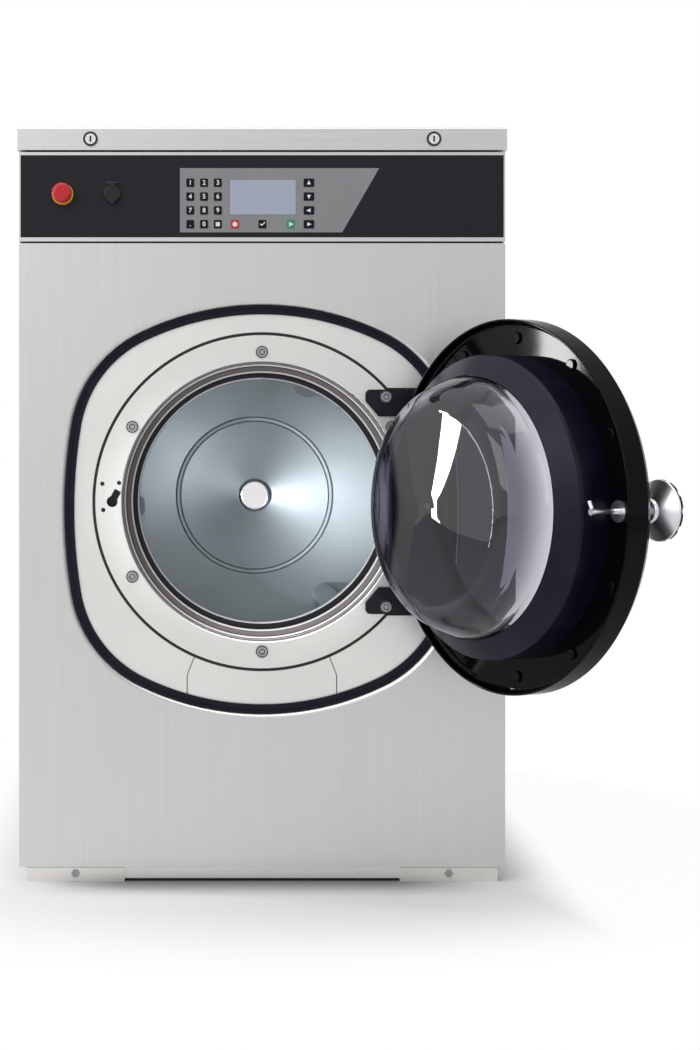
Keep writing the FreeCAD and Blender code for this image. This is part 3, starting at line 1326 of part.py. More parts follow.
def tub_front():
    wall = ring(TUB_OUTER, LIP_RADIUS + RING_FORM_SHEET, TUB_FRONT, TUB_SHELL_FRONT)
    holes = [rod_y(RING_BOLT_RADIUS + TOUCH, TUB_FRONT, TUB_SHELL_FRONT, x, z)
             for x, z in ring_bolt_places()]
    return trimmed(wall, *holes)


def tub_shell():
    shell = ring(TUB_OUTER, TUB_RADIUS, TUB_SHELL_FRONT, TUB_BACK)
    drain = rod_z(VALVE_RADIUS / 2, DRAIN_PIPE_Z, AXIS_Z, DRAIN_X, DRAIN_Y)
    fill = rod_z(FUNNEL_RADIUS - FUNNEL_WALL, AXIS_Z, CONTROL_BOTTOM, SPOUT_X, SPOUT_Y)
    return trimmed(shell, drain, fill)


def tub_back():
    return ring(TUB_OUTER, SEAL_HOUSING_RADIUS, TUB_BACK, TUB_REAR)


def tub_cylinder():
    """The tub's outside, for cutting what is welded against it."""
    return rod_y(TUB_OUTER, TUB_FRONT, TUB_REAR, 0, AXIS_Z)


def spring_brackets():
    """Four seats welded to the tub, each over a spring and a damper."""
    brackets = []
    for first, second in ((SPRING_FRONT, DAMPER_FRONT), (SPRING_REAR, DAMPER_REAR)):
        front = min(first, second) - SEAT_MARGIN
        back = max(first, second) + SEAT_MARGIN
        left = SPRING_X - SEAT_HALF_WIDTH
        right = SPRING_X + SEAT_HALF_WIDTH
        top = SEAT_Z + SEAT_THICK
        middle = (front + back) / 2
        seat = block(left, right, front, back, SEAT_Z, top)
        web = block(left, right, middle - SEAT_THICK, middle + SEAT_THICK, top, top + GUSSET_HEIGHT)
        bracket = joined(seat, web.cut(tub_cylinder()))
        brackets += [bracket, mirrored(bracket)]
    return brackets


# Drum

def drum_shell():
    inner = DRUM_RADIUS - DRUM_SHEET
    front = DRUM_FRONT + DRUM_SHEET
    mouth = DRUM_MOUTH_RADIUS + DRUM_SHEET
    lip = DRUM_FRONT + DRUM_LIP
    return turned([(DRUM_MOUTH_RADIUS, DRUM_FRONT, DRUM_LIP_ROUND),
                   (DRUM_RADIUS, DRUM_FRONT, DRUM_SHOULDER), (DRUM_RADIUS, DRUM_BACK, 0),
                   (inner, DRUM_BACK, 0), (inner, front, DRUM_SHOULDER - DRUM_SHEET),
                   (mouth, front, DRUM_LIP_ROUND - DRUM_SHEET), (mouth, lip, 0),
                   (DRUM_MOUTH_RADIUS, lip, 0)], 0, AXIS_Z)


def drum_back():
    ridge = DRUM_BACK - DRUM_RIDGE_RISE
    inner = DRUM_RIDGE_RADIUS - DRUM_RIDGE_WIDTH / 2
    outer = DRUM_RIDGE_RADIUS + DRUM_RIDGE_WIDTH / 2
    slope = DRUM_RIDGE_WIDTH / 4
    return turned([(0, DRUM_BACK, 0), (inner, DRUM_BACK, DRUM_RIDGE_ROUND),
                   (inner + slope, ridge, DRUM_RIDGE_ROUND), (outer - slope, ridge, DRUM_RIDGE_ROUND),
                   (outer, DRUM_BACK, DRUM_RIDGE_ROUND), (DRUM_RADIUS, DRUM_BACK, 0),
                   (DRUM_RADIUS, SPIDER_FRONT, 0), (0, SPIDER_FRONT, 0)], 0, AXIS_Z)


def hub_cap():
    front = DRUM_BACK - HUB_CAP_RISE
    return turned([(0, front, 0), (HUB_CAP_RADIUS, front, HUB_CAP_ROUND), (HUB_CAP_RADIUS, DRUM_BACK, 0),
                   (0, DRUM_BACK, 0)], 0, AXIS_Z)


def lifters():
    """Rounded ribs inside the drum, seated on its wall."""
    front = DRUM_FRONT + DRUM_LIP + LIFTER_END_GAP
    back = DRUM_BACK - LIFTER_END_GAP
    corners = [(DRUM_RADIUS, AXIS_Z - LIFTER_BASE_HALF, 0), (DRUM_RADIUS, AXIS_Z + LIFTER_BASE_HALF, 0),
               (LIFTER_INNER, AXIS_Z + LIFTER_CREST_HALF, LIFTER_ROUND),
               (LIFTER_INNER, AXIS_Z - LIFTER_CREST_HALF, LIFTER_ROUND)]
    rib = plate(corners, front, back).common(rod_y(DRUM_RADIUS - DRUM_SHEET, front, back, 0, AXIS_Z))
    return [turned_about(rib, FIRST_LIFTER_ANGLE + 360.0 * index / LIFTER_COUNT, 0, AXIS_Z)
            for index in range(LIFTER_COUNT)]


def drum_spider():
    hub = rod_y(SPIDER_HUB_RADIUS, SPIDER_FRONT, SPIDER_BACK, 0, AXIS_Z)
    half = SPIDER_ARM_WIDTH / 2
    arm = block(0, DRUM_RADIUS - SPIDER_ARM_INSET, SPIDER_FRONT, SPIDER_BACK, AXIS_Z - half, AXIS_Z + half)
    arms = [turned_about(arm, FIRST_LIFTER_ANGLE + 360.0 * index / LIFTER_COUNT, 0, AXIS_Z)
            for index in range(LIFTER_COUNT)]
    return trimmed(joined(hub, *arms), rod_y(SHAFT_RADIUS, SPIDER_FRONT, SPIDER_BACK, 0, AXIS_Z))


def drum_shaft():
    return rod_y(SHAFT_RADIUS, SPIDER_FRONT, PULLEY_BACK, 0, AXIS_Z)


# Drive

def shaft_seal():
    return ring(SEAL_HOUSING_RADIUS - TOUCH, SHAFT_RADIUS + SHAFT_RUNNING, TUB_BACK, TUB_REAR)


def bearing_spans():
    first = TUB_REAR + BEARING_END
    last = HOUSING_END - BEARING_END
    return ((first, first + BEARING_WIDTH), (last - BEARING_WIDTH, last))


def bearing_housing():
    flange = rod_y(HOUSING_FLANGE_RADIUS, TUB_REAR, TUB_REAR + HOUSING_FLANGE, 0, AXIS_Z)
    hub = rod_y(HOUSING_HUB_RADIUS, TUB_REAR, HOUSING_END, 0, AXIS_Z)
    rib = Part.makePolygon([vec(0, TUB_REAR, AXIS_Z), vec(HOUSING_FLANGE_RADIUS, TUB_REAR, AXIS_Z),
                            vec(HOUSING_HUB_RADIUS, TUB_REAR + HOUSING_RIB_LENGTH, AXIS_Z),
                            vec(0, TUB_REAR + HOUSING_RIB_LENGTH, AXIS_Z), vec(0, TUB_REAR, AXIS_Z)])
    rib = Part.Face(rib).extrude(vec(0, 0, HOUSING_RIB))
    rib.translate(vec(0, 0, -HOUSING_RIB / 2))
    ribs = [turned_about(rib, 360.0 * index / HOUSING_RIB_COUNT, 0, AXIS_Z)
            for index in range(HOUSING_RIB_COUNT)]
    tools = [rod_y(SEAL_HOUSING_RADIUS, TUB_REAR, HOUSING_END, 0, AXIS_Z)]
    for front, back in bearing_spans():
        tools.append(rod_y(BEARING_RADIUS + TOUCH, front, back, 0, AXIS_Z))
    last_front = bearing_spans()[-1][0]
    tools.append(rod_y(BEARING_RADIUS + TOUCH, last_front, HOUSING_END, 0, AXIS_Z))
    return trimmed(joined(flange, hub, *ribs), *tools)


def bearings():
    solids = []
    inner = SHAFT_RADIUS + SHAFT_RUNNING
    for front, back in bearing_spans():
        body = ring(BEARING_RADIUS, inner, front, back)
        low = inner + BEARING_RACE
        high = BEARING_RADIUS - BEARING_RACE
        solids.append(trimmed(body, ring(high, low, front, front + BEARING_GROOVE),
                              ring(high, low, back - BEARING_GROOVE, back)))
    return solids


def drum_pulley():
    rim = ring(PULLEY_RADIUS, PULLEY_RADIUS - PULLEY_RIM, PULLEY_FRONT, PULLEY_BACK)
    middle = (PULLEY_FRONT + PULLEY_BACK - PULLEY_WEB) / 2
    web = rod_y(PULLEY_RADIUS - PULLEY_RIM, middle, middle + PULLEY_WEB, 0, AXIS_Z)
    hub = rod_y(PULLEY_HUB_RADIUS, PULLEY_FRONT, PULLEY_BACK, 0, AXIS_Z)
    holes = [rod_y(PULLEY_HOLE_RADIUS, middle, middle + PULLEY_WEB, x, z)
             for x, z in around(PULLEY_HOLE_COUNT, 0, PULLEY_HOLE_CIRCLE)]
    return trimmed(joined(rim, web, hub), rod_y(SHAFT_RADIUS, PULLEY_FRONT, PULLEY_BACK, 0, AXIS_Z), *holes)


def motor_pulley():
    return trimmed(rod_y(MOTOR_PULLEY_RADIUS, PULLEY_FRONT, PULLEY_BACK, MOTOR_X, MOTOR_Z),
                   rod_y(MOTOR_SHAFT_RADIUS, PULLEY_FRONT, PULLEY_BACK, MOTOR_X, MOTOR_Z))


def motor_shaft():
    return rod_y(MOTOR_SHAFT_RADIUS, MOTOR_BACK - MOTOR_SHAFT_INSIDE, PULLEY_BACK, MOTOR_X, MOTOR_Z)


def belt_loop(grow, y):
    """Line round both pulleys at a distance grow outside them."""
    big = PULLEY_RADIUS + grow
    small = MOTOR_PULLEY_RADIUS + grow
    start = vec(0, y, AXIS_Z)
    end = vec(MOTOR_X, y, MOTOR_Z)
    along = end - start
    lean = math.acos((big - small) / along.Length)
    along.normalize()
    across = vec(-along.z, 0, along.x)
    left = along * math.cos(lean) + across * math.sin(lean)
    right = along * math.cos(lean) - across * math.sin(lean)
    return Part.Wire([
        Part.Arc(start + left * big, start - along * big, start + right * big).toShape(),
        Part.LineSegment(start + right * big, end + right * small).toShape(),
        Part.Arc(end + right * small, end + along * small, end + left * small).toShape(),
        Part.LineSegment(end + left * small, start + left * big).toShape(),
    ])


def drive_belt():
    outer = Part.Face(belt_loop(FIT + BELT_THICK, BELT_FRONT)).extrude(vec(0, BELT_WIDTH, 0))
    inner = Part.Face(belt_loop(FIT, BELT_FRONT)).extrude(vec(0, BELT_WIDTH, 0))
    return outer.cut(inner)


def motor():
    small = MOTOR_RADIUS - MOTOR_CAP_STEP
    first = MOTOR_FRONT + MOTOR_CAP
    last = MOTOR_BACK - MOTOR_CAP
    body = turned([(0, MOTOR_FRONT, 0), (small, MOTOR_FRONT, MOTOR_CAP_ROUND), (small, first, 0),
                   (MOTOR_RADIUS, first, MOTOR_ROUND), (MOTOR_RADIUS, last, MOTOR_ROUND), (small, last, 0),
                   (small, MOTOR_BACK, MOTOR_CAP_ROUND), (0, MOTOR_BACK, 0)], MOTOR_X, MOTOR_Z)
    deep = MOTOR_BACK - MOTOR_SHAFT_INSIDE - FIT
    return trimmed(body, rod_y(MOTOR_SHAFT_RADIUS + SHAFT_RUNNING, deep, MOTOR_BACK, MOTOR_X, MOTOR_Z))


def motor_mount():
    """Two plates that hang the motor from the tub."""
    plates = []
    first = MOTOR_FRONT + MOTOR_CAP + MOUNT_PLATE
    last = TUB_BACK - MOUNT_PLATE
    for front in (first, last):
        web = block(MOTOR_X - MOUNT_HALF_WIDTH, MOTOR_X + MOUNT_HALF_WIDTH, front, front + MOUNT_PLATE,
                    MOTOR_Z, AXIS_Z)
        body = rod_y(MOTOR_RADIUS, MOTOR_FRONT, MOTOR_BACK, MOTOR_X, MOTOR_Z)
        plates.append(trimmed(web, tub_cylinder(), body))
    return plates


# Suspension

def spring_places():
    return [(x, y) for x in (-SPRING_X, SPRING_X) for y in (SPRING_FRONT, SPRING_REAR)]


def arc_between(start, heading, end):
    """Arc from start along heading to end."""
    chord = end - start
    length = chord.Length
    chord.normalize()
    bulge = heading - chord * heading.dot(chord)
    bulge.normalize()
    half = heading.getAngle(chord)
    middle = (start + end) * 0.5 + bulge * (length / 2 * math.tan(half / 2))
    return Part.Arc(start, middle, end).toShape()


def spring(x, y):
    """Coil of round wire on pairs of arcs, a quarter turn each, seated on both ends."""
    rise = SPRING_HEIGHT - 2 * SPRING_WIRE
    steps = 4 * SPRING_TURNS
    points = []
    headings = []
    for step in range(steps + 1):
        angle = math.pi / 2 * step
        points.append(vec(x + SPRING_RADIUS * math.cos(angle), y + SPRING_RADIUS * math.sin(angle),
                          BASE_TOP + SPRING_WIRE + rise * step / steps))
        heading = vec(-math.sin(angle) * SPRING_RADIUS, math.cos(angle) * SPRING_RADIUS,
                      rise / steps * 2 / math.pi)
        heading.normalize()
        headings.append(heading)
    edges = []
    for step in range(steps):
        start, end = points[step], points[step + 1]
        first, last = headings[step], headings[step + 1]
        span = end - start
        total = first + last
        spread = 2 * (1 - first.dot(last))
        reach = (-span.dot(total) + math.sqrt(span.dot(total) ** 2 + spread * span.dot(span))) / spread
        middle = (start + end + (first - last) * reach) * 0.5
        edges.append(arc_between(start, first, middle))
        edges.append(arc_between(end, last * -1, middle))
    path = Part.Wire(edges)
    section = Part.Wire(Part.makeCircle(SPRING_WIRE, points[0], headings[0]))
    return path.makePipeShell([section], True, False)


def suspension_springs():
    return [spring(x, y) for x, y in spring_places()]


def damper_places():
    return [(x, y) for x in (-SPRING_X, SPRING_X) for y in (DAMPER_FRONT, DAMPER_REAR)]


def damper_cylinders():
    top = BASE_TOP + DAMPER_LENGTH
    return [rod_z(DAMPER_RADIUS, BASE_TOP, top, x, y).cut(
        rod_z(DAMPER_ROD_RADIUS + FIT, BASE_TOP + DAMPER_FLOOR, top, x, y)) for x, y in damper_places()]


def damper_rods():
    low = BASE_TOP + DAMPER_LENGTH - DAMPER_ROD_OVERLAP
    return [rod_z(DAMPER_ROD_RADIUS, low, SEAT_Z, x, y) for x, y in damper_places()]


# Water in and out

def drain_pipe():
    front = DRAIN_Y - DRAIN_PIPE_FRONT
    end = CABINET_DEPTH + DRAIN_PIPE_BEHIND
    inner = DRAIN_PIPE_RADIUS - DRAIN_PIPE_WALL
    run = rod_y(DRAIN_PIPE_RADIUS - DRAIN_PIPE_STEP, front, CABINET_DEPTH, DRAIN_X, DRAIN_PIPE_Z)
    spigot = rod_y(DRAIN_PIPE_RADIUS, CABINET_DEPTH, end, DRAIN_X, DRAIN_PIPE_Z)
    stub = rod_z(DRAIN_STUB_RADIUS, DRAIN_PIPE_Z, DRAIN_STUB_TOP, DRAIN_X, DRAIN_Y)
    half = DRAIN_SADDLE / 2
    saddles = [block(DRAIN_X - half, DRAIN_X + half, y - half, y + half, BASE_TOP, DRAIN_PIPE_Z)
               for y in (DRAIN_Y, CABINET_DEPTH - 2 * DRAIN_PIPE_RADIUS)]
    bore = rod_y(inner, front + DRAIN_PIPE_WALL, end, DRAIN_X, DRAIN_PIPE_Z)
    down = rod_z(DRAIN_STUB_RADIUS - DRAIN_PIPE_WALL, DRAIN_PIPE_Z, DRAIN_STUB_TOP, DRAIN_X, DRAIN_Y)
    return trimmed(joined(run, spigot, stub, *saddles), bore, down)


def drain_bellows():
    top = DRAIN_STUB_TOP + BELLOWS_LENGTH
    bore = DRAIN_STUB_RADIUS - DRAIN_PIPE_WALL
    return rod_z(BELLOWS_RADIUS, DRAIN_STUB_TOP, top, DRAIN_X, DRAIN_Y).cut(
        rod_z(bore, DRAIN_STUB_TOP, top, DRAIN_X, DRAIN_Y))


def drain_valve():
    low = DRAIN_STUB_TOP + BELLOWS_LENGTH
    body = joined(rod_z(VALVE_RADIUS, low + VALVE_FLANGE, AXIS_Z, DRAIN_X, DRAIN_Y),
                  rod_z(BELLOWS_RADIUS, low, low + VALVE_FLANGE, DRAIN_X, DRAIN_Y))
    return trimmed(body, tub_cylinder(), rod_z(VALVE_RADIUS / 2, low, AXIS_Z, DRAIN_X, DRAIN_Y))


def inlet_valves():
    inside = CABINET_DEPTH - SHEET
    half = INLET_BODY / 2
    valves = []
    for x in INLET_XS:
        body = block(x - half, x + half, inside - INLET_BODY_DEPTH, inside, INLET_Z - half, INLET_Z + half)
        neck = rod_y(INLET_NECK, inside, CABINET_DEPTH, x, INLET_Z)
        thread = rod_y(INLET_RADIUS, CABINET_DEPTH, CABINET_DEPTH + INLET_LENGTH, x, INLET_Z)
        bore = rod_y(INLET_BORE, inside, CABINET_DEPTH + INLET_LENGTH, x, INLET_Z)
        valves.append(trimmed(joined(body, neck, thread), bore))
    return valves


def fill_spout():
    """Pipe from the valves that ends over the tub's funnel with an air gap."""
    start = CABINET_DEPTH - SHEET - INLET_BODY_DEPTH
    low = AXIS_Z + TUB_OUTER - TUB_WALL + FUNNEL_GAP + FUNNEL_WALL
    half = INLET_BODY / 2

    def pipe(radius):
        run = rod_y(radius, SPOUT_Y, start, SPOUT_X, INLET_Z)
        drop = rod_z(radius, low, INLET_Z, SPOUT_X, SPOUT_Y)
        return run.fuse(drop).fuse(Part.makeSphere(radius, vec(SPOUT_X, SPOUT_Y, INLET_Z)))

    left = min(INLET_XS) - half
    right = max(INLET_XS) + half
    header = block(left, right, start - half, start, INLET_Z - half, INLET_Z + half)
    return trimmed(joined(pipe(SPOUT_RADIUS), header), pipe(SPOUT_RADIUS - SPOUT_WALL))


def fill_funnel():
    top = AXIS_Z + TUB_OUTER
    low = top - FUNNEL_HEIGHT
    body = rod_z(FUNNEL_RADIUS, low, top, SPOUT_X, SPOUT_Y)
    return trimmed(body, tub_cylinder(), rod_z(FUNNEL_RADIUS - FUNNEL_WALL, low, top, SPOUT_X, SPOUT_Y))


def power_gland():
    outside = CABINET_DEPTH
    inside = CABINET_DEPTH - SHEET
    nut = hexagon(GLAND_RADIUS, outside, outside + GLAND_OUT, GLAND_X, GLAND_Z)
    neck = rod_y(GLAND_NECK, inside - GLAND_IN, outside, GLAND_X, GLAND_Z)
    lock_nut = hexagon(GLAND_RADIUS, inside - GLAND_IN / 2, inside, GLAND_X, GLAND_Z)
    bore = rod_y(GLAND_BORE, inside - GLAND_IN, outside + GLAND_OUT, GLAND_X, GLAND_Z)
    return trimmed(joined(nut, neck, lock_nut), bore)


os.makedirs("parts", exist_ok=True)

save("base_frame", base_frame())
save("corner_feet", *corner_feet())
save("foot_bolts", *foot_bolts())
save("right_side_panel", right_side_panel())
save("left_side_panel", mirrored(right_side_panel()))
save("rear_panel", rear_panel())
save("front_panel", front_panel())
save("recess_seal", recess_seal())
save("control_frame", control_frame())
save("control_fascia", control_fascia())
save("keypad_overlay", keypad_overlay())
save("display_window", display_window())
save("control_electronics", control_board(), electronics_box(), stop_contacts())
save("stop_collar", stop_collar())
save("stop_button", stop_button())
save("service_socket", service_socket())
save("dust_cap", dust_cap())
save("top_lid", top_lid())
save("lid_hinges", *lid_hinge_brackets(), *lid_hinge_pins())
save("lid_buffers", *lid_buffers())
save("lock_bezels", lock_bezel(-LOCK_X), lock_bezel(LOCK_X))
save("lock_left", lock_barrel(-LOCK_X))
save("lock_right", lock_barrel(LOCK_X))
save("surround_plate", surround_plate())
save("lower_access_cover", lower_access_cover())
save("surround_carrier", surround_carrier())
save("door_ring", door_ring())
save("ring_bolts", *ring_bolts(), *hinge_bolts(), *ring_spacers())
save("door_lock", door_lock())
upper_hinge = (upper_hinge_bracket(), hinge_pin())
save("door_hinges", *upper_hinge, *[below_axis(piece) for piece in upper_hinge])
save_door("hinge_arms", upper_hinge_arm(), below_axis(upper_hinge_arm()))
save_door("door_dish", door_dish())
save_door("door_seal", door_seal())
save_door("door_glass", door_glass())
save_door("door_trim", door_trim())
save_door("door_screws", *door_screws())
save_door("handle_bush", handle_bush())
save_door("latch_shaft", latch_shaft())
save_door("handle_knob", handle_knob())
save_door("handle_grip", handle_grip())
save("tub", tub_shell(), tub_front(), tub_back())
save("suspension_brackets", *spring_brackets(), *damper_rods())
save("drum_shell", drum_shell())
save("drum_back", drum_back())
save("hub_cap", hub_cap())
save("lifters", *lifters())
save("drum_spider", drum_spider(), drum_shaft())
save("bearing_housing", bearing_housing())
save("bearings", *bearings(), shaft_seal())
save("drum_pulley", drum_pulley())
save("motor_pulley", motor_pulley(), motor_shaft())
save("drive_belt", drive_belt())
save("motor", motor(), *motor_mount())
save("suspension_springs", *suspension_springs())
save("dampers", *damper_cylinders())
save("drain_pipe", drain_pipe())
save("drain_bellows", drain_bellows())
save("tub_fittings", drain_valve(), fill_funnel())
save("inlet_valves", *inlet_valves(), fill_spout())
save("power_gland", power_gland())
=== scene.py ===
import json
import math

import bmesh
import bpy
from mathutils import Matrix, Vector


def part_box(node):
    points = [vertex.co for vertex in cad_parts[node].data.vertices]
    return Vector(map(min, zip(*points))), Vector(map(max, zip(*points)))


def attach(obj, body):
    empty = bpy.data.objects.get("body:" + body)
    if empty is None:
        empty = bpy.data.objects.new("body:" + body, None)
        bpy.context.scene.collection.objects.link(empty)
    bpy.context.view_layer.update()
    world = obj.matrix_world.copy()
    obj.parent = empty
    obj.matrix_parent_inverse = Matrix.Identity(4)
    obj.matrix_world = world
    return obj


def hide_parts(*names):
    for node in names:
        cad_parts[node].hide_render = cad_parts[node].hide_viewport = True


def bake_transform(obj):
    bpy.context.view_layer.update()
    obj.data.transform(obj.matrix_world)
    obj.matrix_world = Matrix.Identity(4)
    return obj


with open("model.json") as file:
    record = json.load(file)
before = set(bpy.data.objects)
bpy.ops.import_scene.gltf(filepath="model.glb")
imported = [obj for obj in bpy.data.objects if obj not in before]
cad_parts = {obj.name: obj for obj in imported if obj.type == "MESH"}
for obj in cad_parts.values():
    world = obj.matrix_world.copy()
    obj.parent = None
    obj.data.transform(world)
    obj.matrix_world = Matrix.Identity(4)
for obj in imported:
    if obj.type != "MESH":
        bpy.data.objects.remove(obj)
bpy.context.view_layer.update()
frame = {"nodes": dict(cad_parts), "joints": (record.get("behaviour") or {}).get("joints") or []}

bl_info = {
    "name": "Laundry washer dressing",
    "version": (1, 0, 0),
    "blender": (4, 5, 0),
    "location": "View3D > Sidebar > Washer",
    "description": "Finishes, key legends, perforations, screws and a studio for a front-loading washer",
    "category": "Object",
}


def lowest(node):
    """Lowest corner of a node's box."""
    return Vector(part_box(node)[0])


def highest(node):
    """Highest corner of a node's box."""
    return Vector(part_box(node)[1])


def middle(node):
    """Middle of a node's box."""
    return (lowest(node) + highest(node)) / 2


# Axes of the frame: to the right, to the rear and upwards; lengths are in metres
ACROSS, ALONG, UP = range(3)

# Drum: height of its axis, place of its front, thickness of its wall and radius of its mouth
AXIS_HEIGHT = middle("hub_cap").z
DRUM_FRONT = lowest("drum_shell").y
DRUM_WALL = 0.0020
DRUM_MOUTH = 0.2035

# Drum: the mouth's face with painted shade, and its lip with a painted highlight
MOUTH_DEPTH = 0.0015
MOUTH_PAINTED_SHADE = (0.020, 0.018, 0.025)
LIP_WIDTH = 0.0020
LIP_DEPTH = 0.0060
LIP_PAINTED_HIGHLIGHT = (0.80, 0.80, 0.84)
# The bead on the back carries a painted highlight band, which fades between two half widths
BEAD_RADIUS = 0.1420
BEAD_FADE = (0.0030, 0.0065)

# Drum holes: the painted shade disc in each, how far it stands off the wall, and the plain stretch at either
# end
HOLE_SIDES = 12
HOLE_TAPER = 0.82
HOLE_DEPTH = 0.0006
HOLE_LIFT = 0.0001
HOLE_END_MARGIN = 0.045

# Door ring, from its face inwards: edges of its dark throat, bright roll, grey band and bright lip
# All are painted: painted reflections on the throat and the grey band, painted highlights on the roll and the
# lip
THROAT_EDGE = 0.2278
ROLL_HIGHLIGHT_OUTER = 0.2264
ROLL_HIGHLIGHT_INNER = 0.2238
BAND_EDGE = 0.2222
LIP_HIGHLIGHT_EDGE = 0.2150
LINE_SOFTNESS = 0.0004
THROAT_PAINTED_REFLECTION = (0.04, 0.036, 0.04)
BAND_PAINTED_REFLECTIONS = ((0.15, 0.13, 0.135), (0.21, 0.19, 0.19))

# Door ring: its small holes, across from the middle and up from the axis, and the painted shade rings in them
PINHOLES = ((-0.2620, 0.0295), (-0.2345, 0.0310), (-0.2605, -0.0135))
PINHOLE_SHADE_BORE = 0.0004
PINHOLE_SHADE_RADIUS = 0.0036

# Door ring: painted shadow rings on its bolts, as shares of the head's radius
HEAD_SHADOW_RING = (0.86, 0.99)
SOCKET_SHADOW_RING = (0.36, 0.50)

# Door: its hinge line, the angle at which it stands open and the depths between which painted shade darkens
# its glass
DOOR_SWING = next(joint for joint in frame["joints"] if joint["name"] == "door_swing")
DOOR_HINGE = Vector(DOOR_SWING["pos_m"])
DOOR_OPEN = -math.radians(DOOR_SWING["range_deg"][0])
GLASS_DARKENS = (0.07, 0.15)

# Turning marks and the display's cells, in radians to the metre
RING_TURNS = 5200.0
DRUM_TURNS = 2400.0
DISPLAY_CELLS = 5200.0

# Keypad: keys, from the film's left edge and its upper edge, and the marks printed on them
KEY_PITCH_X = 0.0225
KEY_PITCH_Z = 0.0226
FIRST_KEY_X = 0.0170
FIRST_KEY_DROP = 0.0240
CANCEL_KEY_X = 0.0900
ACCEPT_KEY_X = 0.1350
START_KEY_X = 0.1815
ARROW_KEY_X = 0.2110
ARROW_KEY_WIDTH = 0.0172
KEY_ROUNDING = 0.0016
ROUNDING_POINTS = 4
INK_THICK = 0.0001
MARK_REACH = 0.0042
SQUARE_REACH = 0.0034
DIGITS = ("1", "2", "3", "4", "5", "6", "7", "8", "9", ".", "0")
ARROW_TURNS = (90.0, 270.0, 180.0, 0.0)
ARROW_CORNERS = (0.0, 130.0, 230.0)
OCTAGON_CORNERS = tuple(22.5 + 45.0 * side for side in range(8))
TICK = ((-0.0042, 0.0002), (-0.0030, 0.0014), (-0.0010, -0.0006),
        (0.0036, 0.0040), (0.0046, 0.0028), (-0.0010, -0.0028))
START_ARROW = ((-0.0030, -0.0040), (0.0044, 0.0), (-0.0030, 0.0040))

# Lettering: half thickness and weight, for letters of size 1
LETTER_EXTRUDE = 0.005
LETTER_WEIGHT = 0.018

# Painted shade rings and plates that lie on a face: their thickness, and half the size of a lock's key slot
SKIN = 0.0002
KEY_SLOT = (0.0015, 0.0048)

# Panel screws: their heads with a flange, a crown and a cross, and their places from the panels' edges
SCREW_SIDES = 24
SCREW_FLANGE = 0.0012
SCREW_CROWN = 0.0016
CROWN_FOOT = 0.78
CROWN_TOP = 0.55
CROSS_BAR = (0.0052, 0.0011, 0.0006)
SCREW_RISE = 0.0006
REAR_INSET = 0.012
REAR_END_Z = 0.030
REAR_END_X = 0.090
SIDE_INSET = 0.018
SIDE_END_Y = 0.060

# How far below the lid's highest point its top face may lie
LID_FACE_MARGIN = 0.0005

# Lamps: name, place, target, width and height, and the setting with the power
SOFT_LAMPS = (
    ("Key lamp", (-2.6, -3.4, 2.6), (0.0, -0.3, 0.7), (2.2, 2.6), "key_power"),
    ("Fill lamp", (2.9, -2.4, 1.9), (0.2, -0.4, 0.7), (0.9, 2.4), "fill_power"),
    ("Top lamp", (0.0, -1.2, 3.6), (0.0, -0.3, 0.6), (3.0, 1.6), "top_power"),
    ("Window lamp", (-1.94, 0.10, 0.79), (0.41, -0.75, 0.79), (0.10, 0.68), "window_power"),
)

# Spots: name, place, target and the setting with the power; both reach little more than the drum's mouth
DRUM_SPOTS = (
    ("Drum lamp", (-1.45, -3.9, 0.55), (0.0, -0.25, AXIS_HEIGHT), "drum_power"),
    ("Drum fill lamp", (0.85, -3.9, 0.15), (-0.06, 0.0, AXIS_HEIGHT), "drum_fill_power"),
)
SPOT_ANGLE = math.radians(5.4)
SPOT_BLEND = 0.4
SPOT_SOFTNESS = 0.08

# Floor: its painted shadow along the base's front, and the distances between which the camera sees it turn
# white
FLOOR_RADIUS = 9.0
FLOOR_SIDES = 96
BASE_FRONT = lowest("base_frame").y
SHADE_DEPTH = 0.13
SHADE_SIDES = (0.20, 0.42)
SHADE_STRENGTH = 0.82
SHADE_GREY = (0.10, 0.10, 0.10)
WHITE_SIDES = (0.38, 0.52)
WHITE_BESIDE = 0.95
WHITE_REACH = (0.5, 1.0)
WHITE = (1.0, 1.0, 1.0, 1.0)

# Room: two directions and the brightness at each, towards the front, from left to right and to the rear
ROOM_FRONT = (-0.2, -0.95, 1.0, 0.755)
ROOM_SIDE = (-0.45, 0.45, 1.30, 0.66)
ROOM_REAR = (0.1, 0.8, 1.0, 0.66)

# Camera: width of its sensor in millimetres
SENSOR_WIDTH = 36.0


# Settings that a user would change

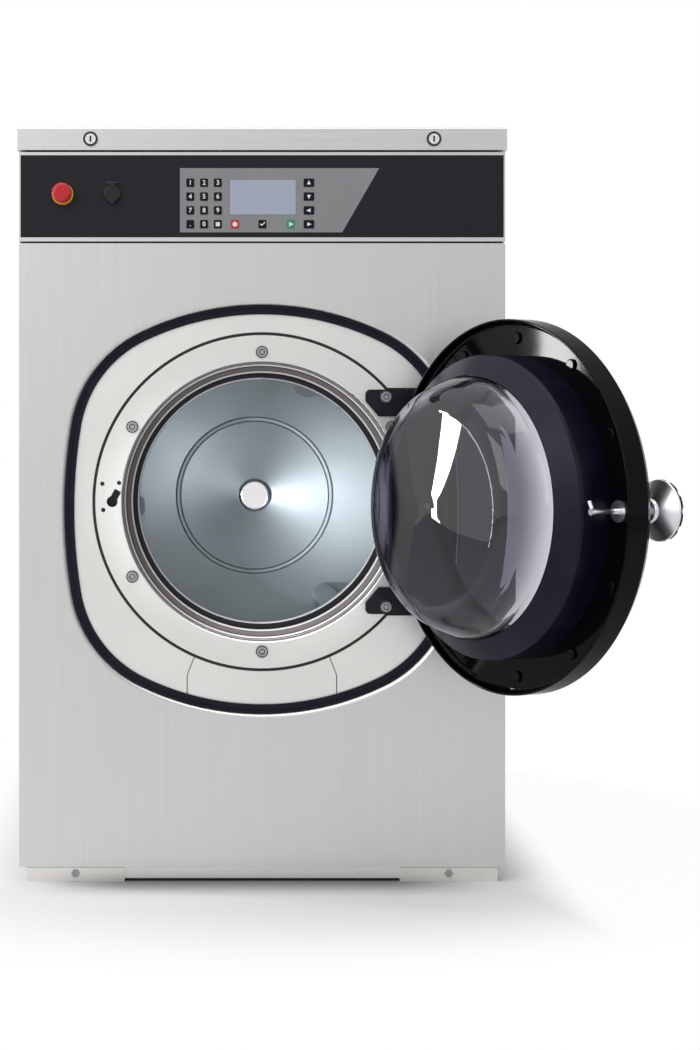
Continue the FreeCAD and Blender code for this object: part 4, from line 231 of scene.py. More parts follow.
class WasherFinishSettings(bpy.types.PropertyGroup):
    """Colours of the washer's main finishes."""

    stainless: bpy.props.FloatVectorProperty(
        name="Stainless", description="Colour of the satin front, control frame and lid",
        subtype="COLOR", default=(0.76, 0.755, 0.75), min=0.0, max=1.0)
    drum_steel: bpy.props.FloatVectorProperty(
        name="Drum steel", description="Colour of the spun drum",
        subtype="COLOR", default=(0.40, 0.46, 0.50), min=0.0, max=1.0)
    side_paint: bpy.props.FloatVectorProperty(
        name="Side paint", description="Colour of the coated side and rear panels",
        subtype="COLOR", default=(0.42, 0.42, 0.43), min=0.0, max=1.0)
    surround: bpy.props.FloatVectorProperty(
        name="Surround", description="Colour of the pale plates around the door",
        subtype="COLOR", default=(0.95, 0.937, 0.915), min=0.0, max=1.0)
    fascia: bpy.props.FloatVectorProperty(
        name="Fascia", description="Colour of the dark control strip",
        subtype="COLOR", default=(0.012, 0.011, 0.016), min=0.0, max=1.0)
    overlay: bpy.props.FloatVectorProperty(
        name="Keypad film", description="Colour of the grey keypad film",
        subtype="COLOR", default=(0.250, 0.254, 0.265), min=0.0, max=1.0)
    display: bpy.props.FloatVectorProperty(
        name="Display", description="Colour of the blank display",
        subtype="COLOR", default=(0.314, 0.346, 0.446), min=0.0, max=1.0)
    door_black: bpy.props.FloatVectorProperty(
        name="Door black", description="Colour of the gloss door mouldings",
        subtype="COLOR", default=(0.002, 0.002, 0.003), min=0.0, max=1.0)
    door_rubber: bpy.props.FloatVectorProperty(
        name="Door rubber", description="Colour of the door's moulded seal",
        subtype="COLOR", default=(0.006, 0.004, 0.016), min=0.0, max=1.0)
    glass_rim: bpy.props.FloatVectorProperty(
        name="Glass rim", description="Tint of the door's glass near its flange",
        subtype="COLOR", default=(0.86, 0.87, 0.93), min=0.0, max=1.0)
    # Painted shade: the dark tint at the dome stands in for the darkness seen in the glass
    glass_dome_shade: bpy.props.FloatVectorProperty(
        name="Glass dome", description="Tint of the door's glass at its dome",
        subtype="COLOR", default=(0.135, 0.13, 0.175), min=0.0, max=1.0)
    stop_red: bpy.props.FloatVectorProperty(
        name="Stop red", description="Colour of the emergency stop's cap",
        subtype="COLOR", default=(0.55, 0.018, 0.028), min=0.0, max=1.0)


class WasherDetailSettings(bpy.types.PropertyGroup):
    """Sizes of the details that are added to the solids."""

    key_width: bpy.props.FloatProperty(
        name="Key width", description="Width of a digit key's cap", default=0.0129, unit="LENGTH")
    key_height: bpy.props.FloatProperty(
        name="Key height", description="Height of a key's cap", default=0.0137, unit="LENGTH")
    key_film: bpy.props.FloatProperty(
        name="Key film", description="Thickness of the printed film on a key", default=0.00025, unit="LENGTH")
    digit_size: bpy.props.FloatProperty(
        name="Digit size", description="Height of the printed digits", default=0.0106, unit="LENGTH")
    hole_pitch: bpy.props.FloatProperty(
        name="Hole pitch", description="Distance between the drum wall's holes", default=0.026, unit="LENGTH")
    hole_radius: bpy.props.FloatProperty(
        name="Hole radius", description="Radius of a hole in the drum wall", default=0.0032, unit="LENGTH")
    screw_radius: bpy.props.FloatProperty(
        name="Screw radius", description="Radius of the panel screws' heads", default=0.0055, unit="LENGTH")
    screw_pitch: bpy.props.FloatProperty(
        name="Screw pitch", description="Distance between the panel screws", default=0.19, unit="LENGTH")


class WasherStageSettings(bpy.types.PropertyGroup):
    """Camera, lamps and floor."""

    camera_place: bpy.props.FloatVectorProperty(
        name="Camera place", description="Where the camera stands", subtype="TRANSLATION",
        default=(-0.100, -3.680, 0.710))
    camera_lens: bpy.props.FloatProperty(
        name="Lens", description="Focal length", default=69.2, unit="CAMERA")
    camera_shift: bpy.props.FloatVectorProperty(
        name="Shift", description="Sideways and upward shift of the frame", size=2, default=(0.1419, -0.0738))
    key_power: bpy.props.FloatProperty(
        name="Key power", description="Power of the large soft lamp on the left", default=43.0, unit="POWER")
    fill_power: bpy.props.FloatProperty(
        name="Fill power", description="Power of the soft lamp on the right", default=11.0, unit="POWER")
    top_power: bpy.props.FloatProperty(
        name="Top power", description="Power of the overhead lamp", default=22.0, unit="POWER")
    drum_power: bpy.props.FloatProperty(
        name="Drum power", description="Power of the spot that looks into the drum", default=205.0,
        unit="POWER")
    drum_fill_power: bpy.props.FloatProperty(
        name="Drum fill power", description="Power of the low spot from the right", default=25.0,
        unit="POWER")
    window_power: bpy.props.FloatProperty(
        name="Window power", description="Power of the small lamp that the door's dish mirrors", default=9.5,
        unit="POWER")
    room_light: bpy.props.FloatProperty(
        name="Room light", description="Strength of the even light from all sides", default=0.62)
    floor_color: bpy.props.FloatVectorProperty(
        name="Floor", description="Colour of the pale floor", subtype="COLOR",
        default=(0.86, 0.86, 0.86), min=0.0, max=1.0)


# Node trees

class Value:
    """A socket on which Python's arithmetic adds Math nodes."""

    def __init__(self, tree, socket):
        self.tree = tree
        self.socket = socket

    def math(self, operation, first, second=0.0):
        """Add a Math node."""
        return self.tree.node("ShaderNodeMath", {"operation": operation}, {0: first, 1: second})

    def __add__(self, other):
        return self.math("ADD", self, other)

    __radd__ = __add__

    def __sub__(self, other):
        return self.math("SUBTRACT", self, other)

    def __rsub__(self, other):
        return self.math("SUBTRACT", other, self)

    def __mul__(self, other):
        return self.math("MULTIPLY", self, other)

    __rmul__ = __mul__

    def __truediv__(self, other):
        return self.math("DIVIDE", self, other)

    def __rtruediv__(self, other):
        return self.math("DIVIDE", other, self)

    def __mod__(self, other):
        return self.math("MODULO", self, other)

    def __rmod__(self, other):
        return self.math("MODULO", other, self)

    def __gt__(self, other):
        return self.math("GREATER_THAN", self, other)

    def __lt__(self, other):
        return self.math("LESS_THAN", self, other)

    def root(self):
        return self.math("POWER", self, 0.5)

    def sine(self):
        return self.math("SINE", self)

    def cosine(self):
        return self.math("COSINE", self)

    def floor(self):
        return self.math("FLOOR", self)

    def absolute(self):
        return self.math("ABSOLUTE", self)

    def larger(self, other):
        return self.math("MAXIMUM", self, other)

    def ramp(self, low, high, start=0.0, end=1.0, shape="LINEAR"):
        """Run from start at low to end at high, and level outside them."""
        return self.tree.node("ShaderNodeMapRange", {"interpolation_type": shape},
                              {0: self, 1: low, 2: high, 3: start, 4: end})

    def step(self, low, high):
        """Smooth rise from 0 at low to 1 at high."""
        return self.ramp(low, high, shape="SMOOTHSTEP")

    def within(self, edge):
        """1 up to an edge and 0 past it, with a soft line between."""
        return 1.0 - self.step(edge, edge + LINE_SOFTNESS)


class Tree:
    """A node tree whose nodes are added by node()."""

    def __init__(self, tree):
        self.tree = tree

    def node(self, kind, settings=None, inputs=None, output=0):
        """Add a node with its settings, then its inputs' values or links; gives one output."""
        made = self.tree.nodes.new(kind)
        for key, setting in (settings or {}).items():
            setattr(made, key, setting)
        for key, given in (inputs or {}).items():
            if isinstance(given, Value):
                self.tree.links.new(given.socket, made.inputs[key])
            else:
                made.inputs[key].default_value = given
        return Value(self, made.outputs[output])


class Shader(Tree):
    """The shader of a material or a world."""

    def __init__(self, owner, output):
        owner.use_nodes = True
        super().__init__(owner.node_tree)
        self.tree.nodes.clear()
        self.output = self.tree.nodes.new(output)

    def axes(self, space="Object"):
        """The three coordinates as values."""
        coords = self.node("ShaderNodeTexCoord", output=space)
        parts = self.node("ShaderNodeSeparateXYZ", None, {0: coords}).socket.node
        return [Value(self, part) for part in parts.outputs]

    def ray(self, kind):
        return self.node("ShaderNodeLightPath", output=kind)

    def seen(self):
        """1 where the camera looks straight or through glass."""
        return self.ray("Is Camera Ray").larger(self.ray("Is Transmission Ray"))

    def blend(self, factor, first, second):
        """Blend of two numbers."""
        return self.node("ShaderNodeMix", {"data_type": "FLOAT"}, {0: factor, 2: first, 3: second})

    def end(self, shader):
        self.tree.links.new(shader.socket, self.output.inputs["Surface"])


class Finish(Shader):
    """A material's shader."""

    def __init__(self, name):
        self.material = bpy.data.materials.new(name)
        super().__init__(self.material, "ShaderNodeOutputMaterial")

    def about_axis(self):
        """Distance from the drum's axis, and the place along it."""
        x, y, z = self.axes()
        rise = z - AXIS_HEIGHT
        return (x * x + rise * rise).root(), y

    def noise(self, scale, detail=2.0, rough=0.5):
        """Noise with one scale for all axes or one for each."""
        scales = scale if isinstance(scale, tuple) else (scale, scale, scale)
        coords = self.node("ShaderNodeTexCoord", output="Object")
        place = self.node("ShaderNodeMapping", {"vector_type": "POINT"}, {"Vector": coords, "Scale": scales})
        return self.node("ShaderNodeTexNoise", {"noise_dimensions": "3D"},
                         {"Vector": place, "Scale": 1.0, "Detail": detail, "Roughness": rough})

    def mix(self, factor, first, second):
        """Blend of two colours."""
        return self.node("ShaderNodeMix", {"data_type": "RGBA"},
                         {0: factor, 6: opaque(first), 7: opaque(second)}, output=2)

    def bump(self, height, strength, distance):
        return self.node("ShaderNodeBump", None,
                         {"Height": height, "Strength": strength, "Distance": distance})

    def surface(self, color, roughness, **others):
        """End in the Principled shader; an underscore in a key stands for a space."""
        inputs = {"Base Color": opaque(color), "Roughness": roughness}
        for key, given in others.items():
            inputs[key.replace("_", " ")] = given
        self.end(self.node("ShaderNodeBsdfPrincipled", None, inputs))
        return self.material


def opaque(color):
    """A plain colour with its alpha, or a link as it is."""
    return (*color, 1.0) if isinstance(color, tuple) else color


def shade(color, factor):
    """A colour made lighter or darker."""
    return tuple(min(1.0, part * factor) for part in color)


def lift(color, amount):
    """A colour with a little grey added."""
    return tuple(part + amount for part in color)


def drawn(along, scale_along, scale_across):
    """Scales of a noise that is drawn out along one axis."""
    return tuple(scale_along if axis == along else scale_across for axis in range(3))


# Finishes: noise has its waves to the metre and a bump its depth in metres; the rest are shares of 1

def satin_steel(name, color, along, roughness=0.33, shaded_dull_above=None):
    """Brushed stainless sheet: streaks along one axis, faint clouds, and above a height if given duller and
    darker, the darker tone painted shade.
    """
    finish = Finish(name)
    streaks = finish.noise(drawn(along, 5.0, 900.0), 3.0, 0.6)
    bands = finish.noise(drawn(along, 1.6, 160.0))
    clouds = finish.noise(3.0, 3.0)
    grain = streaks * 0.6 + bands * 0.4
    tone = finish.mix(grain.step(0.35, 0.65), shade(color, 0.97), shade(color, 1.02))
    tone = finish.mix(clouds.step(0.35, 0.75) * 0.25, tone, shade(color, 0.93))
    rough = roughness + (grain - 0.5) * 0.08 + (clouds - 0.5) * 0.05
    metal = 1.0
    if shaded_dull_above is not None:
        # Above the height: rougher, less metallic and darker; the darker tone is painted shade
        dull = finish.axes()[UP] > shaded_dull_above
        tone = finish.mix(dull, tone, shade(color, 0.66))
        rough = rough + dull * 0.35
        metal = 1.0 - dull * 0.85
    return finish.surface(tone, rough, Metallic=metal, Normal=finish.bump(grain, 0.05, 0.0003))


def painted_sheet(name, color, roughness=0.45):
    """Powder coat with a fine orange-peel skin and a little dust in its tone."""
    finish = Finish(name)
    peel = finish.noise(420.0)
    dust = finish.noise(9.0, 4.0)
    tone = finish.mix(dust.step(0.3, 0.8), color, shade(color, 0.95))
    return finish.surface(tone, roughness + (dust - 0.5) * 0.06, Normal=finish.bump(peel, 0.25, 0.0002))


def pale_plate(name, color):
    """Pale satin plate around the door: soft sheen, faint polishing marks."""
    finish = Finish(name)
    polish = finish.noise((260.0, 260.0, 18.0), 3.0)
    clouds = finish.noise(5.0, 3.0)
    tone = finish.mix(clouds.step(0.3, 0.75), color, shade(color, 0.95))
    return finish.surface(tone, 0.32 + (polish - 0.5) * 0.05, Metallic=0.85,
                          Normal=finish.bump(polish, 0.02, 0.0003))


def ring_steel(name, color):
    """Pressed door ring: satin face, and a spun throat with painted reflections: dark, a bright roll, a grey
    band and a lip.
    """
    finish = Finish(name)
    radius, _ = finish.about_axis()
    grain = finish.noise((300.0, 300.0, 20.0), 3.0)
    turns = (radius * RING_TURNS).sine() * 0.5 + 0.5
    throat = radius.within(THROAT_EDGE)
    roll = radius.within(ROLL_HIGHLIGHT_OUTER) - radius.within(ROLL_HIGHLIGHT_INNER)
    # Painted reflections: the throat's dark line and its grey band
    inside = finish.mix(radius.within(BAND_EDGE), THROAT_PAINTED_REFLECTION, finish.mix(grain, *BAND_PAINTED_REFLECTIONS))
    tone = finish.mix(throat, color, inside)
    # Painted highlights on the roll and the lip
    tone = finish.mix(radius.within(LIP_HIGHLIGHT_EDGE) + roll, tone, color)
    rough = 0.32 + (grain - 0.5) * 0.05 + throat * 0.04
    marks = grain * (1.0 - throat) + turns * throat
    return finish.surface(tone, rough, Metallic=0.9 - throat * 0.5, Normal=finish.bump(marks, 0.02, 0.0003))


def spun_steel(name, color, dish=0.0):
    """Spun drum: turning marks about its axis, painted shade on its mouth's face, painted highlights on its
    lip and bead.
    """
    finish = Finish(name)
    radius, along = finish.about_axis()
    wander = finish.noise(14.0)
    marks = ((radius + along) * DRUM_TURNS + wander * 3.0).sine()
    clouds = finish.noise(6.0, 3.0)
    # Painted shade on the mouth's face, and a painted highlight on its lip
    mouth = (along < DRUM_FRONT + MOUTH_DEPTH) * (radius > DRUM_MOUTH + LIP_WIDTH)
    lip = (along < DRUM_FRONT + LIP_DEPTH) * (radius < DRUM_MOUTH + LIP_WIDTH)
    # Painted highlight band on the bead, lighter to offset its shading
    bead = 1.0 - (radius - BEAD_RADIUS).absolute().step(*BEAD_FADE)
    tone = finish.mix(clouds.step(0.3, 0.8), color, shade(color, 0.9))
    tone = finish.mix(mouth, tone, MOUTH_PAINTED_SHADE)
    tone = finish.mix(lip, tone, LIP_PAINTED_HIGHLIGHT)
    tone = finish.mix(bead, tone, shade(color, 1.5))
    rough = 0.30 + (clouds - 0.5) * 0.08 + mouth * 0.3 + bead * 0.16
    height = marks * 0.00001 + radius * dish
    return finish.surface(tone, rough, Metallic=1.0 - mouth - lip * 0.8, Normal=finish.bump(height, 1.0, 1.0))


def plain_steel(name, color, roughness, metal=1.0):
    """Plated or machined steel with a faint mottled finish."""
    finish = Finish(name)
    mottle = finish.noise(70.0, 4.0)
    fine = finish.noise(600.0)
    tone = finish.mix(mottle.step(0.3, 0.75), color, shade(color, 0.84))
    return finish.surface(tone, roughness + (mottle - 0.5) * 0.22, Metallic=metal,
                          Normal=finish.bump(fine, 0.06, 0.0002))


def chrome(name, color, roughness):
    """Plating with the lightest haze of wiping marks."""
    finish = Finish(name)
    wipes = finish.noise((60.0, 220.0, 60.0), 3.0)
    tone = finish.mix(wipes.step(0.4, 0.8), color, shade(color, 0.95))
    return finish.surface(tone, roughness + wipes.step(0.45, 0.9) * 0.06, Metallic=1.0)


def gloss_moulding(name, color, roughness, coat=0.0, specular=0.5):
    """Polished plastic moulding with a very slight ripple and specks of dust."""
    finish = Finish(name)
    ripple = finish.noise(22.0)
    dust = finish.noise(900.0).step(0.66, 0.78)
    tone = finish.mix(dust * 0.2, color, lift(color, 0.01))
    return finish.surface(tone, roughness + dust * 0.08 + (ripple - 0.5) * 0.04, Coat_Weight=coat,
                          Coat_Roughness=0.03, Specular_IOR_Level=specular,
                          Normal=finish.bump(ripple, 0.03, 0.0008))


def matt_moulding(name, color, roughness=0.5, specular=0.5):
    """Spark-textured plastic, lighter where it is rubbed."""
    finish = Finish(name)
    spark = finish.noise(1400.0)
    rubbed = finish.noise(30.0, 4.0)
    tone = finish.mix(rubbed.step(0.35, 0.8), color, shade(lift(color, 0.006), 1.12))
    return finish.surface(tone, roughness + (rubbed - 0.5) * 0.16, Specular_IOR_Level=specular,
                          Normal=finish.bump(spark, 0.18, 0.00015))


def rubber(name, color, roughness=0.48, specular=0.4):
    """Moulded rubber with a bloom that lightens it in patches."""
    finish = Finish(name)
    bloom = finish.noise(24.0, 4.0)
    skin = finish.noise(800.0)
    tone = finish.mix(bloom.step(0.4, 0.85), color, shade(lift(color, 0.004), 1.25))
    return finish.surface(tone, roughness + (bloom - 0.5) * 0.2, Specular_IOR_Level=specular,
                          Normal=finish.bump(skin, 0.12, 0.0002))


def casting(name, color):
    """Painted iron casting with a sand-cast skin."""
    finish = Finish(name)
    sand = finish.noise(260.0, 4.0)
    rust = finish.noise(18.0, 4.0)
    tone = finish.mix(rust.step(0.45, 0.85), color, shade(color, 0.7))
    return finish.surface(tone, 0.55 + (sand - 0.5) * 0.2, Metallic=0.35,
                          Normal=finish.bump(sand, 0.5, 0.0006))


def tinted_glass(name, rim, dome):
    """Moulded glass bowl with faint wiping marks, whose tint darkens from the rim to the dome by painted
    shade.
    """
    finish = Finish(name)
    x, y, _ = finish.axes()
    depth = (x - DOOR_HINGE.x) * -math.sin(DOOR_OPEN) + (y - DOOR_HINGE.y) * math.cos(DOOR_OPEN)
    # Painted shade: the tint darkens from the rim's to the dome's
    tint = finish.mix(depth.step(*GLASS_DARKENS), rim, dome)
    wipes = finish.noise((12.0, 12.0, 40.0), 3.0)
    return finish.surface(tint, wipes.step(0.55, 0.95) * 0.03, IOR=1.5, Transmission_Weight=1.0)


def display_face(name, color):
    """Blank display behind a clear window: even tone with a faint cell grid and a faint painted glow."""
    finish = Finish(name)
    x, _, z = finish.axes()
    cells = (x * DISPLAY_CELLS).sine() * (z * DISPLAY_CELLS).sine()
    tone = finish.mix(cells.step(-0.4, 0.9) * 0.18, color, shade(color, 0.86))
    # Painted glow: the blank display gives off a little light of its own tone
    return finish.surface(tone, 0.22, Coat_Weight=0.6, Coat_Roughness=0.05, Emission_Color=tone,
                          Emission_Strength=0.15)


def film(name, color, roughness=0.38, specular=0.5):
    """Printed film with a fine pebble."""
    finish = Finish(name)
    pebble = finish.noise(2200.0)
    drift = finish.noise(16.0, 3.0)
    tone = finish.mix(drift.step(0.3, 0.8), color, shade(color, 0.93))
    return finish.surface(tone, roughness + (drift - 0.5) * 0.1, Specular_IOR_Level=specular,
                          Normal=finish.bump(pebble, 0.10, 0.0001))


def ink(name, color):
    """Printed ink, a little worn."""
    finish = Finish(name)
    worn = finish.noise(500.0, 3.0)
    tone = finish.mix(worn.step(0.6, 0.9), color, shade(color, 0.85))
    return finish.surface(tone, 0.45 + (worn - 0.5) * 0.1)


def dress(nodes, material):
    """Give CAD nodes a finish in place of the plain one."""
    for name in nodes.split():
        mesh = frame["nodes"][name].data
        mesh.materials.clear()
        mesh.materials.append(material)


# Pieces that are added to the solids

def add_object(name, data):
    """Object at the origin, linked to the scene."""
    made = bpy.data.objects.new(name, data)
    bpy.context.scene.collection.objects.link(made)
    return made


def plain_mesh(holder):
    """An object's evaluated shape as a plain mesh; the object itself is removed."""
    graph = bpy.context.evaluated_depsgraph_get()
    mesh = bpy.data.meshes.new_from_object(holder.evaluated_get(graph))
    bpy.data.objects.remove(holder)
    return mesh


def from_bmesh(name, shape, material):
    """Object at the origin from a bmesh."""
    mesh = bpy.data.meshes.new(name)
    shape.to_mesh(mesh)
    shape.free()
    mesh.materials.append(material)
    return add_object(name, mesh)


def outward(shape):
    """A bmesh with its doubles merged and its faces turned outwards."""
    bmesh.ops.remove_doubles(shape, verts=shape.verts, dist=1e-7)
    bmesh.ops.recalc_face_normals(shape, faces=shape.faces)
    return shape


def fit(piece, body):
    """Tie a finished piece to its body."""
    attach(piece, body)


def stretch(name, node):
    """Stand-in for a springy node, which reaches from the cabinet to the floating tub."""
    piece = add_object(name, frame["nodes"][node].data.copy())
    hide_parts(node)
    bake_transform(piece)


def around(reach, angles):
    """Points at one distance from the middle, at angles in degrees."""
    turns = [math.radians(angle) for angle in angles]
    return [(reach * math.cos(turn), reach * math.sin(turn)) for turn in turns]


def rectangle(half_x, half_z):
    """Corners of a rectangle about the middle."""
    return [(-half_x, -half_z), (half_x, -half_z), (half_x, half_z), (-half_x, half_z)]


def add_plate(shape, x, z, outline, front, thick):
    """Add a flat plate that faces the front, with an outline of points about a place."""
    near = [shape.verts.new((x + across, front, z + up)) for across, up in outline]
    far = [shape.verts.new((x + across, front + thick, z + up)) for across, up in outline]
    shape.faces.new(near)
    shape.faces.new(list(reversed(far)))
    join_loops(shape, near, far)


def add_annulus(shape, x, z, front, inner, outer, thick=SKIN, segments=32):
    """Add a flat ring that faces the front, about a place."""
    loops = []
    for radius, y in ((inner, front), (outer, front), (outer, front + thick), (inner, front + thick)):
        points = around(radius, [360.0 * index / segments for index in range(segments)])
        loops.append([shape.verts.new((x + across, y, z + up)) for across, up in points])
    for first, second in zip(loops, loops[1:] + loops[:1]):
        join_loops(shape, first, second)


def join_loops(shape, first, second):
    """Add the faces between two closed loops of the same number of points."""
    for index in range(len(first)):
        after = (index + 1) % len(first)
        shape.faces.new([first[index], first[after], second[after], second[index]])


def add_text(shape, words, size, place):
    """Add flat lettering that faces the front, centred on a place; it is cut at size 1 and then shrunk."""
    curve = bpy.data.curves.new("lettering", "FONT")
    curve.body = words
    curve.align_x = "CENTER"
    curve.align_y = "CENTER"
    curve.extrude = LETTER_EXTRUDE
    curve.offset = LETTER_WEIGHT
    mesh = plain_mesh(add_object("lettering", curve))
    mesh.transform(Matrix.Translation(place) @ Matrix.Rotation(math.pi / 2, 4, "X") @ Matrix.Scale(size, 4))
    shape.from_mesh(mesh)
    bpy.data.curves.remove(curve)
    bpy.data.meshes.remove(mesh)


def islands(node):
    """Lowest and highest corner of each separate solid of a node."""
    shape = bmesh.new()
    shape.from_mesh(frame["nodes"][node].data)
    bmesh.ops.remove_doubles(shape, verts=shape.verts, dist=1e-6)
    left = set(shape.verts)
    found = []
    while left:
        front = [left.pop()]
        group = list(front)
        while front:
            for edge in front.pop().link_edges:
                for vert in edge.verts:
                    if vert in left:
                        left.remove(vert)
                        front.append(vert)
                        group.append(vert)
        spans = list(zip(*(vert.co for vert in group)))
        found.append((Vector([min(span) for span in spans]), Vector([max(span) for span in spans])))
    shape.free()
    return found


def spread(low, high, margin, pitch):
    """Start, count and step of an even row that keeps a margin at both ends and comes near a pitch."""
    length = high - low - 2 * margin
    gaps = round(length / pitch)
    return low + margin, gaps + 1, length / gaps


# Geometry Nodes

class Grove(Tree):
    """A Geometry Nodes tree with named inputs, one of which is its finish."""

    def __init__(self, name, inputs):
        super().__init__(bpy.data.node_groups.new(name, "GeometryNodeTree"))
        self.add_socket("Geometry", "INPUT", "Geometry")
        self.sockets = {label: self.add_socket(label, "INPUT", kind) for label, kind in inputs}
        self.sockets["Finish"] = self.add_socket("Finish", "INPUT", "Material")
        self.add_socket("Geometry", "OUTPUT", "Geometry")
        self.start = self.tree.nodes.new("NodeGroupInput")
        self.output = self.tree.nodes.new("NodeGroupOutput")

    def add_socket(self, label, way, kind):
        """Add an input or output of the tree; gives its identifier."""
        return self.tree.interface.new_socket(label, in_out=way, socket_type="NodeSocket" + kind).identifier

    def given(self, label):
        return Value(self, self.start.outputs[label])

    def end(self, geometry):
        """End the tree: realised instances in the given finish."""
        real = self.node("GeometryNodeRealizeInstances", None, {"Geometry": geometry})
        painted = self.node("GeometryNodeSetMaterial", None,
                            {"Geometry": real, "Material": self.given("Finish")})
        self.tree.links.new(painted.socket, self.output.inputs[0])

    def grow(self, name, **values):
        """Evaluate the tree on an empty mesh and give the result as a plain mesh; underscores are spaces."""
        holder = add_object(name + "_maker", bpy.data.meshes.new(name + "_maker"))
        modifier = holder.modifiers.new("Maker", "NODES")
        modifier.node_group = self.tree
        for label, value in values.items():
            modifier[self.sockets[label.replace("_", " ")]] = value
        mesh = plain_mesh(holder)
        mesh.name = name
        return mesh


def cap_grove():
    """Rounded flat caps on a grid in the front plane."""
    grove = Grove("Key caps", [("Columns", "Int"), ("Rows", "Int"), ("Pitch X", "Float"),
                               ("Pitch Z", "Float"), ("Width", "Float"), ("Height", "Float"),
                               ("Rounding", "Float"), ("Thickness", "Float"), ("Middle", "Vector")])
    columns = grove.given("Columns")
    rows = grove.given("Rows")
    grid = grove.node("GeometryNodeMeshGrid", None,
                      {"Size X": (columns - 1.0) * grove.given("Pitch X"),
                       "Size Y": (rows - 1.0) * grove.given("Pitch Z"),
                       "Vertices X": columns, "Vertices Y": rows})
    points = grove.node("GeometryNodeMeshToPoints", None, {"Mesh": grid})
    outline = grove.node("GeometryNodeCurvePrimitiveQuadrilateral", None,
                         {"Width": grove.given("Width"), "Height": grove.given("Height")})
    rounded = grove.node("GeometryNodeFilletCurve", {"mode": "POLY"},
                         {"Curve": outline, "Count": ROUNDING_POINTS, "Radius": grove.given("Rounding")})
    sheet = grove.node("GeometryNodeFillCurve", None, {"Curve": rounded})
    raised = grove.node("GeometryNodeExtrudeMesh", None,
                        {"Mesh": sheet, "Offset Scale": grove.given("Thickness")})
    laid = grove.node("GeometryNodeInstanceOnPoints", None, {"Points": points, "Instance": raised})
    grove.end(grove.node("GeometryNodeTransform", None,
                         {"Geometry": laid, "Translation": grove.given("Middle"),
                          "Rotation": (math.pi / 2, 0.0, 0.0)}))
    return grove


def hole_grove():
    """Staggered rows of small discs round the inside of a cylinder whose axis runs front to back."""
    grove = Grove("Drum holes", [("Columns", "Int"), ("Rows", "Int"), ("Radius", "Float"), ("Front", "Float"),
                                 ("Length", "Float"), ("Axis height", "Float"), ("Hole radius", "Float")])
    columns = grove.given("Columns")
    rows = grove.given("Rows")
    hole = grove.given("Hole radius")
    points = grove.node("GeometryNodePoints", None, {"Count": columns * rows})
    index = grove.node("GeometryNodeInputIndex")
    row = (index / columns).floor()
    turn = (index % columns + row % 2.0 * 0.5) / columns * (2 * math.pi)
    across = turn.cosine() * grove.given("Radius")
    up = turn.sine() * grove.given("Radius")
    along = grove.given("Front") + row * (grove.given("Length") / (rows - 1.0))
    height = up + grove.given("Axis height")
    place = grove.node("ShaderNodeCombineXYZ", None, {0: across, 1: along, 2: height})
    moved = grove.node("GeometryNodeSetPosition", None, {"Geometry": points, "Position": place})
    inward = grove.node("ShaderNodeCombineXYZ", None, {0: across * -1.0, 1: 0.0, 2: up * -1.0})
    facing = grove.node("FunctionNodeAlignRotationToVector", {"axis": "Z"}, {"Vector": inward})
    disc = grove.node("GeometryNodeMeshCone", {"fill_type": "TRIANGLE_FAN"},
                      {"Vertices": HOLE_SIDES, "Radius Top": hole * HOLE_TAPER, "Radius Bottom": hole,
                       "Depth": HOLE_DEPTH})
    grove.end(grove.node("GeometryNodeInstanceOnPoints", None,
                         {"Points": moved, "Instance": disc, "Rotation": facing}))
    return grove


def screw_grove():
    """Screw heads with a flange, a crown and a cross, in a straight row."""
    grove = Grove("Panel screws", [("Count", "Int"), ("Start", "Vector"), ("Step", "Vector"),
                                   ("Radius", "Float"), ("Turn", "Vector")])
    radius = grove.given("Radius")
    line = grove.node("GeometryNodeMeshLine", {"mode": "OFFSET"},
                      {"Count": grove.given("Count"), "Start Location": grove.given("Start"),
                       "Offset": grove.given("Step")})
    points = grove.node("GeometryNodeMeshToPoints", None, {"Mesh": line})
    flange = grove.node("GeometryNodeMeshCylinder", None,
                        {"Vertices": SCREW_SIDES, "Radius": radius, "Depth": SCREW_FLANGE})
    crown = grove.node("GeometryNodeMeshCone", None,
                       {"Vertices": SCREW_SIDES, "Side Segments": 1, "Radius Bottom": radius * CROWN_FOOT,
                        "Radius Top": radius * CROWN_TOP, "Depth": SCREW_CROWN})
    bar = grove.node("GeometryNodeMeshCube", None, {"Size": CROSS_BAR})
    raised = grove.node("GeometryNodeTransform", None,
                        {"Geometry": bar, "Translation": (0.0, 0.0, SCREW_CROWN)})
    crossed = grove.node("GeometryNodeTransform", None,
                         {"Geometry": raised, "Rotation": (0.0, 0.0, math.pi / 2)})
    head = grove.node("GeometryNodeJoinGeometry")
    for piece in (flange, crown, raised, crossed):
        grove.tree.links.new(piece.socket, head.socket.node.inputs[0])
    turn = grove.node("FunctionNodeEulerToRotation", None, {0: grove.given("Turn")})
    grove.end(grove.node("GeometryNodeInstanceOnPoints", None,
                         {"Points": points, "Instance": head, "Rotation": turn}))
    return grove


# Operators, one for each group of pieces

